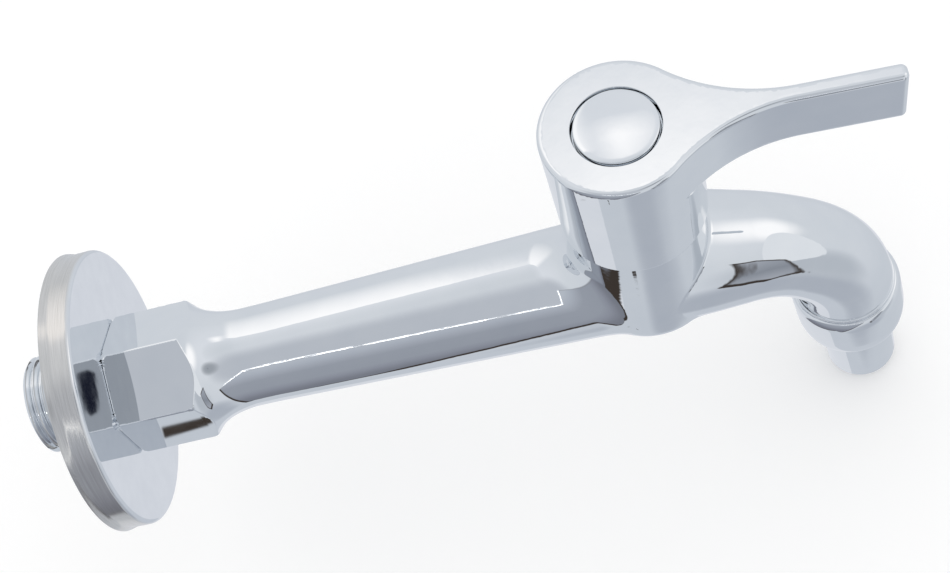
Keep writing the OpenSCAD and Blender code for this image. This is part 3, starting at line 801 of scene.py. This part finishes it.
# %% [markdown]
# ## The lever handle
# Hub and lever are one casting. Seen from above, the lever's flanks are two hollow arcs that leave
# the hub without a corner and end as a straight blade. The plan's outline is one distance, and its
# top edge is one even round all the way. Under the lever the hub's skirt goes straight on down,
# because any slope would mirror the room's opening as a dark band.

# %% The handle's shape
CLOSED = math.radians(-3)
HUB_RADIUS = 14.2
SKIRT_FOOT = handle_low.z
HANDLE_TOP = handle_high.z
LEVER_FOOT = HANDLE_TOP - 12.4
LEVER_REACH = 50.5
BLADE = 1.7
WAIST = 32.0
FLANK = (WAIST**2 + BLADE**2 - HUB_RADIUS**2) / (2 * (HUB_RADIUS - BLADE))
TOP_EDGE = 1.0
LEVER_EDGE = 0.9
TIP_EDGE = 1.2
SKIRT_EDGE = 0.3
to_lever = Matrix.Translation((VALVE_X, 0, 0)) @ Matrix.Rotation(CLOSED, 4, "Z")


def hub_side(p):
    r, out = around(p, ACROSS_Z)
    return r - HUB_RADIUS, out


def lever_plan(p):
    """The outline of hub and lever, seen from above, with x along the lever."""
    x, y = p[:, 0], p[:, 1]
    side = np.where(y < 0, -1.0, 1.0)
    to_flank = np.stack([WAIST - x, side * (BLADE + FLANK) - y, 0 * x], axis=1)
    reach = np.linalg.norm(to_flank, axis=1)
    flank = FLANK - reach, to_flank / np.maximum(reach, 1e-9)[:, None]
    blade = np.abs(y) - BLADE, np.stack([0 * x, side, 0 * x], axis=1)
    on_hub = np.abs(np.arctan2(y, x)) > math.atan2(BLADE + FLANK, WAIST)
    return either(on_hub, hub_side(p), either(x < WAIST, flank, blade))


def handle_local(p):
    block = trimmed(lever_plan(p), plane(p, (LEVER_REACH, 0, 0), (1, 0, 0)), TIP_EDGE)
    block = trimmed(block, plane(p, (0, 0, LEVER_FOOT), (0, 0, -1)), LEVER_EDGE)
    whole = joined(hub_side(p), block, LEVER_EDGE)
    whole = trimmed(whole, plane(p, (0, 0, SKIRT_FOOT), (0, 0, -1)), SKIRT_EDGE)
    return trimmed(whole, plane(p, (0, 0, HANDLE_TOP), (0, 0, 1)), TOP_EDGE)


def handle_surface(p):
    """The handle in the tap's own frame."""
    back = np.array(to_lever.inverted())
    d, n = handle_local(p @ back[:3, :3].T + back[:3, 3])
    return d, n @ back[:3, :3]


# %% [markdown]
# ## The rough handle
# The hub is a cylinder, and the lever starts as a flat plan that is extruded upwards.

# %% The rough handle
HANDLE_FACES = 0.56
hub_place = to_lever @ Matrix.Translation((0, 0, SKIRT_FOOT))
rough_handle = as_object(rough_cylinder(HUB_RADIUS, HANDLE_TOP - SKIRT_FOOT, hub_place))
lever = bmesh.new()
touch = math.degrees(math.atan2(-(BLADE + FLANK), -WAIST))
upper = arc((WAIST, BLADE + FLANK), FLANK, touch, -90, 24) + [(LEVER_REACH, BLADE)]
plan = [(0, 0), *[(x, -y) for x, y in upper], *reversed(upper)]
face = lever.faces.new([lever.verts.new((x, y, LEVER_FOOT)) for x, y in plan])
pulled = bmesh.ops.extrude_face_region(lever, geom=[face])
pulled_verts = [v for v in pulled["geom"] if isinstance(v, bmesh.types.BMVert)]
bmesh.ops.translate(lever, verts=pulled_verts, vec=(0, 0, HANDLE_TOP - LEVER_FOOT))
bmesh.ops.recalc_face_normals(lever, faces=lever.faces)
lever.transform(to_lever)
combine(rough_handle, lever, "UNION")
handle_mesh = settle(remeshed(rough_handle, HANDLE_FACES), handle_surface, rounds=3)
print("handle skin:", len(handle_mesh.verts), "points")

# %% [markdown]
# ## Inside the handle
# From below, the handle is hollow. A boss in the middle takes the spline, and a web carries the
# screw. Above the web is the pocket for the cap. One turned cutter makes it all, and rounds the
# pocket's mouth.

# %% Inside the handle
SKIRT_BORE = 12.35
CAVITY_RADIUS = 9.8
CAVITY_TOP = HANDLE_TOP - 3.5
WEB_Z = 44.2
BOSS_RADIUS = 7.4
BOSS_BORE = 5.65
BOSS_FOOT = 33.9
SCREW_HOLE = 2.1
POCKET = 8.15
POCKET_FLOOR = 46.2
MOUTH = 0.25
handle = as_object(handle_mesh)
hollow = turned(
    stairs(0, SKIRT_FOOT - 1, SKIRT_BORE, CAVITY_TOP, CAVITY_RADIUS, WEB_Z, BOSS_RADIUS)
    + stairs(BOSS_RADIUS, BOSS_FOOT, BOSS_BORE, WEB_Z, SCREW_HOLE, POCKET_FLOOR, POCKET)
    + arc((POCKET + MOUTH, HANDLE_TOP - MOUTH), MOUTH, 180, 90, 4)
    + [(POCKET + MOUTH, HANDLE_TOP + 1), (0, HANDLE_TOP + 1)],
    on_valve(),
)
combine(handle, hollow, "DIFFERENCE")
finish_piece(
    handle, "lever_handle_chrome", "lever_handle", "handle_set", handle_surface
)

# %% [markdown]
# ## The index cap
# The cap covers the screw and snaps into the pocket. It is a shallow dome with a small round edge,
# on a skirt with four slots.

# %% The index cap
CAP_TOP = cap_high.z
CAP_RADIUS = 7.75
CAP_EDGE = 0.35
CAP_PLATE = 1.6
CAP_DEPTH = 4.6
CAP_SKIRT = 8.05
CAP_SKIRT_BORE = 6.95
DOME = 0.35
SLOT = 1.5
cap_edge = CAP_TOP - DOME
plate_z = cap_edge - CAP_PLATE
dome_radius = (CAP_RADIUS**2 + DOME**2) / (2 * DOME)
dome_turn = math.degrees(math.asin(7.3 / dome_radius))
cap = as_object(
    turned(
        stairs(0, plate_z, CAP_SKIRT_BORE, cap_edge - CAP_DEPTH, CAP_SKIRT, plate_z)
        + [(CAP_RADIUS, cap_edge - 1.3)]
        + arc((CAP_RADIUS - CAP_EDGE, cap_edge - 0.33), CAP_EDGE, 0, 86, 6)
        + arc((0, CAP_TOP - dome_radius), dome_radius, 90 - dome_turn, 90, 12),
        on_valve(),
    )
)
slot_place = to_lever @ Matrix.Translation((0, 0, cap_edge - 3.6))
for angle in (0, 90):
    slot_cut = bmesh.new()
    bmesh.ops.create_cube(slot_cut, size=1)
    bmesh.ops.scale(slot_cut, verts=slot_cut.verts, vec=(40, SLOT, 4))
    slot_cut.transform(slot_place @ Matrix.Rotation(math.radians(angle), 4, "Z"))
    combine(cap, slot_cut, "DIFFERENCE")
finish_piece(cap, "index_cap_chrome", "index_cap", "handle_set")

# %% [markdown]
# ## The wall flange
# The flange is pressed from sheet under a millimetre thick: a shallow cup, open towards the wall,
# with a hole for the pipe. Its rim flares slightly at the wall and turns over into the flat face in
# a tight round. The outline starts at the wall, runs over the outside to the hole and comes back
# along the inside. Narrow rings at both ends of the flat face keep its smoothed normals straight,
# so that it mirrors like a plane.

# %% The wall flange
SHEET = 0.8
RIM_ROUND = 0.9
rim = flange_high.z
hole = PIPE_R + 0.12
front = rim - 0.4
flange = as_object(
    turned(
        [(rim - 0.05, 0), (rim, 0.1), (rim - 0.12, 0.6), (rim - 0.45, 1.6), (rim - 0.47, 2.2)]
        + arc((front - RIM_ROUND, HEX_X - RIM_ROUND), RIM_ROUND, 0, 90, 12)
        + [(front - 1.3, HEX_X), (hole + 0.5, HEX_X)]
        + [(hole + 0.15, HEX_X), (hole, HEX_X - 0.15), (hole, HEX_X - SHEET)]
        + arc((front - 1.0, HEX_X - SHEET - 0.2), 0.2, 90, 0, 4)
        + [(rim - 0.45 - SHEET, 1.6), (rim - SHEET, 0)],
        on_inlet(),
        steps=256,
        closed=True,
    )
)
finish_piece(flange, "wall_flange_steel", "wall_flange", "tap")

# %% [markdown]
# ## Nut and nozzle
# The union nut is a smooth round sleeve, a little barrel-shaped, with a ledge inside that catches
# the nozzle's flange. The nozzle is a plain tube with a round mouth.

# %% Nut and nozzle
NUT_RADIUS = 11.75
NUT_TOP = 1.5
NUT_FOOT = 18.1
NUT_LEDGE = 13.2
NUT_BORE = SPIGOT_RADIUS + 0.05
NOZZLE_RADIUS = 7.75
NOZZLE_NECK = NOZZLE_RADIUS - 0.25
NOZZLE_HOLE = NOZZLE_RADIUS + 0.1
NOZZLE_BORE = 6.0
NOZZLE_FLANGE = 9.5
NOZZLE_TOP = 11.0
NOZZLE_END = 39.1
flange_foot = NOZZLE_TOP + 2.1
nut = as_object(
    turned(
        oval((NUT_RADIUS - 1.1, NUT_TOP + 3), 1.1, 3, -90, 0, 14)
        + oval((NUT_RADIUS - 2.1, NUT_FOOT - 6.6), 2.1, 6.6, 4, 72, 20)
        + [(NUT_RADIUS - 2.0, NUT_FOOT - 0.05), (NUT_RADIUS - 2.25, NUT_FOOT)]
        + [(NOZZLE_HOLE + 0.2, NUT_FOOT), (NOZZLE_HOLE, NUT_FOOT - 0.2), (NOZZLE_HOLE, NUT_LEDGE)]
        + [(NUT_BORE, NUT_LEDGE), (NUT_BORE, NUT_TOP + 0.5), (SPIGOT_RADIUS + 0.5, NUT_TOP)],
        on_outlet(),
        closed=True,
    )
)
finish_piece(nut, "union_nut_chrome", "union_nut", "nut")
nozzle = as_object(
    turned(
        [(NOZZLE_BORE, NOZZLE_TOP), (NOZZLE_FLANGE - 0.2, NOZZLE_TOP)]
        + [(NOZZLE_FLANGE, NOZZLE_TOP + 0.2), (NOZZLE_FLANGE, flange_foot - 0.2)]
        + [(NOZZLE_FLANGE - 0.2, flange_foot), (NOZZLE_NECK, flange_foot)]
        + [(NOZZLE_NECK, NUT_FOOT + 0.2), (NOZZLE_RADIUS, NUT_FOOT + 0.2)]
        + arc((NOZZLE_RADIUS - 1, NOZZLE_END - 1), 1, 0, 80, 10)
        + arc((NOZZLE_BORE + 0.25, NOZZLE_END - 0.25), 0.25, 90, 180, 4),
        on_outlet(),
        closed=True,
    )
)
finish_piece(nozzle, "hose_nozzle_chrome", "hose_nozzle", "nozzle_set")

# %% [markdown]
# ## Building materials
# Every material is a few nodes that feed one shader. A node is added by one function that takes its
# inputs as plain values or as other nodes' outputs, so that a material below reads as a list of
# what it is made of. Noise is laid out in the object's own metres.


# %% Helpers for materials
def feed(tree, socket, value):
    if isinstance(value, bpy.types.NodeSocket):
        tree.links.new(value, socket)
    else:
        socket.default_value = value


def add_node(tree, kind, output, inputs=(), **settings):
    """Adds a shader node and returns the named output."""
    node = tree.nodes.new("ShaderNode" + kind)
    for name, value in settings.items():
        setattr(node, name, value)
    for name, value in dict(inputs).items():
        feed(tree, node.inputs[name], value)
    return node.outputs[output]


def calculated(tree, operation, *values):
    return add_node(tree, "Math", "Value", dict(enumerate(values)), operation=operation)


def mapped(tree, source, start, end, low=0.0, high=1.0, curve="LINEAR"):
    """Turns the range from start to end into the one from low to high."""
    ends = {"From Min": start, "From Max": end, "To Min": low, "To Max": high}
    inputs = {"Value": source, **ends}
    return add_node(tree, "MapRange", "Result", inputs, interpolation_type=curve)


def mixed(tree, factor, first, second, kind="RGBA"):
    inputs = {"Factor": factor, "A": first, "B": second}
    return add_node(tree, "Mix", "Result", inputs, data_type=kind)


def noise(tree, scale, detail, stretch=(1, 1, 1)):
    """Noise with about as many patches per metre as the scale says."""
    place = add_node(tree, "TexCoord", "Object")
    place = add_node(tree, "Mapping", "Vector", {"Vector": place, "Scale": stretch})
    inputs = {"Vector": place, "Scale": scale, "Detail": detail}
    return add_node(tree, "TexNoise", "Fac", inputs)


def spread(tree, grain, low, high):
    """A number that follows a noise, most of which lies between 0.3 and 0.7."""
    return mapped(tree, grain, 0.3, 0.7, low, high)


def mottled(tree, grain, first, second):
    """A colour that wanders between two neighbouring tones."""
    return mixed(tree, spread(tree, grain, 0, 1), (*first, 1), (*second, 1))


def bumped(tree, source, height, below=None):
    inputs = {"Distance": height, "Height": source}
    if below:
        inputs["Normal"] = below
    return add_node(tree, "Bump", "Normal", inputs)


def along_pipe(tree):
    place = add_node(tree, "TexCoord", "Object")
    return add_node(tree, "SeparateXYZ", "X", {"Vector": place})


def new_material(name):
    material = bpy.data.materials.new(name)
    material.use_nodes = True
    return material, material.node_tree


def dress(tree, inputs):
    """Feeds the material's shader."""
    for name, value in inputs.items():
        feed(tree, tree.nodes["Principled BSDF"].inputs[name], value)


# %% [markdown]
# ## Chrome
# Polished chrome is a nearly perfect mirror with a faint blue tint. A perfect one looks computed,
# so two bumps add what the polishing wheel leaves: a slow unevenness a few millimetres across and a
# finer one. The hexagon's flats are ground, so both fade out there. Noise in the roughness adds a
# trace of handling marks.

# %% Polished chrome
CHROME_COLOUR = (0.84, 0.86, 0.88)
POLISHING = ((140, 0.00002), (560, 0.000005))
chrome, tree = new_material("polished_chrome")
past_hexagon = mapped(tree, along_pipe(tree), (HEX_X + HEX_LENGTH) * MM, NECK_END * MM)
uneven = None
for scale, height in POLISHING:
    faded = calculated(tree, "MULTIPLY", noise(tree, scale, 1), past_hexagon)
    uneven = bumped(tree, faded, height, uneven)
wear = noise(tree, 160, 3)
dress(tree, {
    "Metallic": 1,
    "Base Color": mottled(tree, wear, (0.825, 0.847, 0.87), (0.855, 0.873, 0.89)),
    "Roughness": spread(tree, wear, 0.006, 0.02),
    "Normal": uneven,
})
for obj in (body, handle, cap, nut, nozzle):
    obj.data.materials.append(chrome)
print("chrome on five pieces")

# %% [markdown]
# ## The flange's steel
# The flange is pressed from stainless sheet. Its flat face stays almost as bright as the chrome,
# and its rim is left satin, with fine lines that run round it. One material does both: a mask along
# the pipe's axis tells the rim from the face, and stretched noise draws the lines.

# %% Flange steel
steel, tree = new_material("satin_steel")
on_rim = mapped(
    tree, along_pipe(tree), (HEX_X - 0.15) * MM, (HEX_X - RIM_ROUND) * MM, curve="SMOOTHSTEP"
)
lines = noise(tree, 900, 2, (6, 0.15, 0.15))
rub = noise(tree, 220, 3)
rim_tint = mottled(tree, lines, (0.66, 0.645, 0.625), (0.76, 0.745, 0.725))
face_tint = mottled(tree, rub, (0.80, 0.82, 0.85), (0.84, 0.86, 0.885))
rim_sheen, face_sheen = spread(tree, lines, 0.13, 0.2), spread(tree, rub, 0.012, 0.03)
dress(tree, {
    "Metallic": 1,
    "Base Color": mixed(tree, on_rim, face_tint, rim_tint),
    "Roughness": mixed(tree, on_rim, face_sheen, rim_sheen, "FLOAT"),
    "Normal": bumped(tree, lines, 0.000004),
})
flange.data.materials.append(steel)
print("steel on the flange")

# %% [markdown]
# ## The pieces inside
# None of these show until the tap is taken apart, but each is a real part with its own stuff:
# turned brass, spring steel, fired ceramic, moulded rubber and plastic, and red fibre. One function
# builds them all from two tones, a range of roughness, a grain and whether they are metal, because
# they differ in nothing else. The grain of turned brass is stretched into rings round the valve's
# axis.


# %% Materials for the inner pieces
def inner_material(name, first, second, roughness, metallic, scale, height, stretch):
    material, tree = new_material(name)
    grain = noise(tree, scale, 4, stretch)
    dress(tree, {
        "Metallic": metallic,
        "Base Color": mottled(tree, grain, first, second),
        "Roughness": spread(tree, grain, *roughness),
        "Normal": bumped(tree, grain, height),
    })
    return material


INNER = (
    ("turned_brass", (0.70, 0.47, 0.20), (0.83, 0.62, 0.30), (0.18, 0.34), 1, 600, 0.00001,
     (0.2, 0.2, 8), ("headwork_body", "disc_carrier", "spindle")),
    ("red_fibre", (0.22, 0.045, 0.03), (0.36, 0.09, 0.055), (0.6, 0.85), 0, 2600, 0.00003,
     (1, 1, 4), ("headwork_washer",)),
    ("black_rubber", (0.012, 0.012, 0.013), (0.03, 0.03, 0.032), (0.45, 0.7), 0, 1400, 0.00001,
     (1, 1, 1), ("seat_seal", "lower_spindle_ring", "upper_spindle_ring", "nozzle_washer")),
    ("lapped_ceramic", (0.80, 0.78, 0.72), (0.88, 0.87, 0.83), (0.12, 0.24), 0, 3000, 0.000002,
     (1, 1, 1), ("fixed_disc", "moving_disc")),
    ("slip_plastic", (0.78, 0.78, 0.76), (0.87, 0.87, 0.86), (0.3, 0.45), 0, 900, 0.000008,
     (1, 1, 3), ("thrust_washer",)),
    ("bush_plastic", (0.07, 0.07, 0.075), (0.12, 0.12, 0.125), (0.35, 0.5), 0, 1100, 0.000008,
     (1, 1, 1), ("spline_bush",)),
    ("spring_steel", (0.48, 0.48, 0.50), (0.62, 0.62, 0.63), (0.2, 0.38), 1, 1200, 0.000005,
     (1, 1, 5), ("spindle_clip", "handle_screw", "lock_washer")),
)
for *recipe, members in INNER:
    material = inner_material(*recipe)
    for name in members:
        mesh = frame["nodes"][name].data
        mesh.materials.clear()
        mesh.materials.append(material)
print("inner materials:", len(INNER))

# %% [markdown]
# ## The floor
# The photograph shows the tap on plain white. The floor is white paper just under the tap, which
# takes its soft shadow. A faint glow for the camera alone makes it as white as the background, and
# the chrome doesn't mirror it, because it mirrors the painted room instead.

# %% Floor
FLOOR_HALF = 1.5
FLOOR_GAP = 0.0004
FLOOR_GLOW = 0.14
floor_mesh = bpy.data.meshes.new("floor")
bm = bmesh.new()
bmesh.ops.create_grid(bm, x_segments=1, y_segments=1, size=FLOOR_HALF)
bmesh.ops.translate(bm, verts=bm.verts, vec=(0.08, 0, cad_low.z - FLOOR_GAP))
bm.to_mesh(floor_mesh)
bm.free()
floor = bpy.data.objects.new("floor", floor_mesh)
scene.collection.objects.link(floor)
paper, tree = new_material("floor_paper")
for_camera = add_node(tree, "LightPath", "Is Camera Ray")
dress(tree, {
    "Base Color": (0.9, 0.9, 0.9, 1),
    "Roughness": 0.9,
    "Emission Color": (1, 1, 1, 1),
    "Emission Strength": calculated(tree, "MULTIPLY", for_camera, FLOOR_GLOW),
})
floor_mesh.materials.append(paper)
floor.visible_glossy = False
print("floor at", round(1000 * (cad_low.z - FLOOR_GAP), 1), "mm")

# %% [markdown]
# ## The room in the mirror
# Panels of light and dark stand round the tap, as in a photographer's tent: white cloth behind, a
# soft box high on the right, and an opening at the front with the dark room behind it. They could
# be real planes, but then each would also be seen by the camera and by the floor. Painted on the
# world and shown to glossy rays alone, they stay where they belong. Each is a mask of directions,
# in degrees as the tap sees them. A straight edge is a great circle through two directions.

# %% The world
world = bpy.data.worlds.new("studio")
scene.world = world
world.use_nodes = True
room = world.node_tree
sky = add_node(room, "TexCoord", "Generated")
UP = Vector((0, 0, 1))
IN_FRONT = 0.001


def calculate(operation, *values):
    return calculated(room, operation, *values)


def towards(vector):
    """How much a ray looks along a vector."""
    return add_node(room, "VectorMath", "Value", {0: sky, 1: vector}, operation="DOT_PRODUCT")


def beyond(vector, start, soft, curve="SMOOTHSTEP"):
    """A mask that rises over some degrees, from a start above the plane across a vector."""
    low, high = (math.sin(math.radians(v)) for v in (start, start + soft))
    return mapped(room, towards(vector), low, high, curve=curve)


def higher_than(height, soft):
    return beyond(UP, height, soft)


def inside_edge(start, end, inner, soft=0.8, inset=0.0):
    """The side of a straight edge on which the inner direction lies."""
    normal = direction(*start).cross(direction(*end)).normalized()
    if normal.dot(direction(*inner)) < 0:
        normal.negate()
    return beyond(normal, inset, soft)


def disc(azimuth, height, radius, soft):
    """A round patch that fades over its outer degrees."""
    return beyond(direction(azimuth, height), 90 - radius, soft)


def outside(mask):
    return calculate("SUBTRACT", 1.0, mask)


def all_of(*masks):
    whole = masks[0]
    for mask in masks[1:]:
        whole = calculate("MULTIPLY", whole, mask)
    return whole


def oval_patch(azimuth, height, wide, high, turn, soft):
    """An oval patch on a plane. soft is the share of it that fades."""
    *axes, outward = facing_axes(azimuth, height, turn)
    ahead = calculate("MAXIMUM", towards(outward), IN_FRONT)
    squares = []
    for axis, size in zip(axes, (wide, high)):
        part = calculate("DIVIDE", towards(axis), ahead)
        part = calculate("DIVIDE", part, math.tan(math.radians(size / 2)))
        squares.append(calculate("MULTIPLY", part, part))
    inner = outside(calculate("SQRT", calculate("ADD", *squares)))
    fading = mapped(room, inner, 0.0, soft, curve="SMOOTHSTEP")
    return all_of(fading, calculate("GREATER_THAN", towards(outward), IN_FRONT))


def patch(corners, soft=0.12, inset=-0.06):
    """A many-sided patch. Its middle is the mean of its corners."""
    middle = [sum(c[i] for c in corners) / len(corners) for i in (0, 1)]
    ends = corners[1:] + corners[:1]
    return all_of(*(inside_edge(a, b, middle, soft, inset) for a, b in zip(corners, ends)))


# %% [markdown]
# ## Colours as the picture shows them
# A colour below is what the chrome shows in the picture, from 0 to 255. The light behind it is
# worked out by undoing the picture's curve and the chrome's tint.


# %% Helpers for colours
def shown(red, green, blue):
    light = []
    for value, tint in zip((red, green, blue), CHROME_COLOUR):
        value = value / 255
        light.append((((value + 0.055) / 1.055) ** 2.4 if value > 0.04 else value / 12.92) / tint)
    return (*light, 1)


def by_height(*stops):
    """A colour that changes with the height above the horizon, in degrees."""
    ramp = room.nodes.new("ShaderNodeValToRGB")
    half = calculate("MULTIPLY", towards(UP), 0.5)
    feed(room, ramp.inputs["Fac"], calculate("ADD", half, 0.5))
    elements = ramp.color_ramp.elements
    while len(elements) < len(stops):
        elements.new(0.5)
    for element, (height, colour) in zip(elements, stops):
        element.position = 0.5 + 0.5 * math.sin(math.radians(height))
        element.color = shown(*colour)
    return ramp.outputs["Color"]


def painted(below, *layers):
    """Lays (colour, mask) layers over what is below."""
    for colour, mask in layers:
        below = mixed(room, mask, below, colour)
    return below


# %% [markdown]
# ## The tent and its lights
# The tent is a pale blue-grey that is a little darker at the table and towards the camera. A white
# box stands high on the right, and a paler cloth hangs below it, which is the oval on the spout.

# %% The tent and its lights
CAMERA_SIDE = shown(179, 185, 194)
PALE_TABLE = shown(206, 211, 219)
NEAR_TABLE = shown(166, 173, 184)
BACK_CLOTH = shown(250, 251, 253)
CLOTH = shown(216, 221, 227)
PHOTOGRAPHER = shown(151, 157, 165)
SHADED_SIDE = shown(176, 183, 192)
BEHIND = (120, 30)
BESIDE = (80, 30)
tent = by_height(
    (-90, (186, 193, 203)), (-60, (188, 195, 204)), (-20, (200, 206, 214)),
    (20, (203, 209, 216)), (64, (213, 218, 225)), (90, (200, 206, 213)),
)
table_step = all_of(
    inside_edge((-140, -80), (-138, -40), (-165, -60), 1.0), outside(higher_than(-48, 6))
)
behind = all_of(
    beyond(UP, 10, 51, "LINEAR"),
    inside_edge((96, 0), (98, 60), BEHIND, 7),
    inside_edge((152, 0), (152, 60), BEHIND, 12),
    outside(higher_than(61.3, 1.6)),
)
beside = all_of(
    beyond(UP, 53, 7, "LINEAR"),
    inside_edge((106, 0), (107, 60), BESIDE, 10),
    inside_edge((62, 0), (63, 60), BESIDE, 12),
    outside(higher_than(66, 4)),
)
studio = painted(
    tent,
    (PALE_TABLE, table_step),
    (NEAR_TABLE, disc(-66, -42, 28, 24)),
    (NEAR_TABLE, disc(-80, -57, 15, 13)),
    (SHADED_SIDE, disc(-42, -12, 30, 25)),
    (CAMERA_SIDE, disc(-108, 46, 40, 26)),
    (PHOTOGRAPHER, disc(-57, 53, 16, 13)),
    (BACK_CLOTH, behind),
    (BACK_CLOTH, beside),
    (BACK_CLOTH, oval_patch(3, 37, 54, 42, 0, 0.75)),
    (CLOTH, oval_patch(-29, 17, 54, 26, 38, 0.06)),
)
print("the tent has", len(room.nodes), "nodes")

# %% [markdown]
# ## The opening
# The room behind the opening is grey, darker towards its foot, and the frame round it is nearly
# black. The same frame shows as a thick brown hook at the end of the barrel and as a hairline along
# its side. Above the opening a gap in the cloth lets in the bright line that runs along the barrel.
# The cloth's edge is gathered, so noise breaks the line into dashes. Two small dark shapes fall on
# flat faces only. The low one shows on the hexagon's front flat. The high one shows on the flange,
# by way of the flat above that.

# %% The opening
FRAME = (0.05, 0.04, 0.034, 1)
NAVY = (0.012, 0.014, 0.026, 1)
GAP = (3, 3, 3, 1)
TOP_EDGE_LINE = ((-98, 24), (-110, 32))
LEFT_EDGE_LINE = ((-133, 34), (-180, -50))
FOOT_LINE = ((-120, -50.5), (-165, -59))
BARREL_FOOT_LINE = ((-122, -50), (-104, -62))
CORNER_LINE = ((-95, -38), (-111, -58))
FOOT_HEIGHT = -56
MIDDLE = (-115, -10)
ABOVE = (-100, 60)
SPOUT_OPENING = ((-68.5, -21), (-52.5, 18), (-44.5, 2.5), (-55, -24), (-63.5, -32))
SPOUT_MIDDLE = (-60, -8)
HEX_SHAPE = ((-126.96, -58.42), (-124.14, -59.29), (-124.32, -59.61), (-127.35, -58.78))
FLANGE_SHAPE = (
    (-53.62, 53.18), (-54.05, 53.4), (-54.61, 53.39), (-55.18, 52.62),
    (-55.41, 52.02), (-55.14, 51.83), (-54.75, 51.91), (-54.07, 52.54),
)


def barrel_opening(soft, side, foot):
    """side and foot are the widths of the frame that is left outside the mask."""
    corner = inside_edge(*CORNER_LINE, MIDDLE, soft, side)
    barrel_foot = inside_edge(*BARREL_FOOT_LINE, (-100, -30), soft)
    near_barrel = all_of(barrel_foot, higher_than(FOOT_HEIGHT + 0.7 * foot, soft), corner)
    near_pot = inside_edge(*FOOT_LINE, MIDDLE, soft, foot)
    edges = [inside_edge(*TOP_EDGE_LINE, MIDDLE), inside_edge(*LEFT_EDGE_LINE, MIDDLE, 3), corner]
    return all_of(*edges, calculate("MAXIMUM", near_barrel, near_pot))


def spout_opening(soft, widths):
    sides = zip(SPOUT_OPENING, SPOUT_OPENING[1:] + SPOUT_OPENING[:1], widths)
    return all_of(*(inside_edge(a, b, SPOUT_MIDDLE, soft, width) for a, b, width in sides))


barrel_room = by_height(
    (-60, (112, 117, 127)), (-45, (118, 122, 133)), (-30, (136, 141, 153)),
    (-20, (144, 150, 161)), (3, (146, 152, 163)), (12, (157, 163, 174)),
    (20, (166, 173, 184)), (32, (177, 184, 194)),
)
spout_room = by_height(
    (-50, (168, 173, 183)), (-28, (160, 165, 175)), (-8, (132, 138, 148)), (18, (160, 166, 176))
)
folds = add_node(room, "TexNoise", "Fac", {"Vector": sky, "Scale": 75, "Detail": 1})
gap = all_of(
    inside_edge(*TOP_EDGE_LINE, ABOVE),
    inside_edge((-84, -20), (-80, 40), MIDDLE, 6),
    inside_edge(*LEFT_EDGE_LINE, MIDDLE, 3),
    inside_edge((-98, 28), (-110, 36), MIDDLE, 2),
    mapped(room, folds, 0.49, 0.54, curve="SMOOTHSTEP"),
)
studio = painted(
    studio,
    (FRAME, barrel_opening(0.8, 0, 0)),
    (barrel_room, barrel_opening(1.2, 1.6, 2.2)),
    (FRAME, spout_opening(0.8, (0, 0, 0, 0, 0))),
    (spout_room, spout_opening(1.6, (0.6, 1, 0.5, 1, 2.5))),
    (GAP, gap),
    (FRAME, patch(HEX_SHAPE)),
    (NAVY, patch(FLANGE_SHAPE)),
)
print("with its openings the room has", len(room.nodes), "nodes")

# %% [markdown]
# ## Who sees the room
# Mirrors see the painted room. The camera and the floor see plain white light from all round, which
# gives the photograph's white background and its faint soft shadow without a single lamp.

# %% World colours
WHITE = (1, 1, 1, 1)
in_mirror = add_node(room, "LightPath", "Is Glossy Ray")
feed(room, room.nodes["Background"].inputs["Color"], painted(WHITE, (studio, in_mirror)))
print("mirrors see the room, and everything else sees white")

# %% [markdown]
# ## Finish
# The standard view shows colours as they are worked out.

# %% Finish
scene.view_settings.view_transform = "Standard"
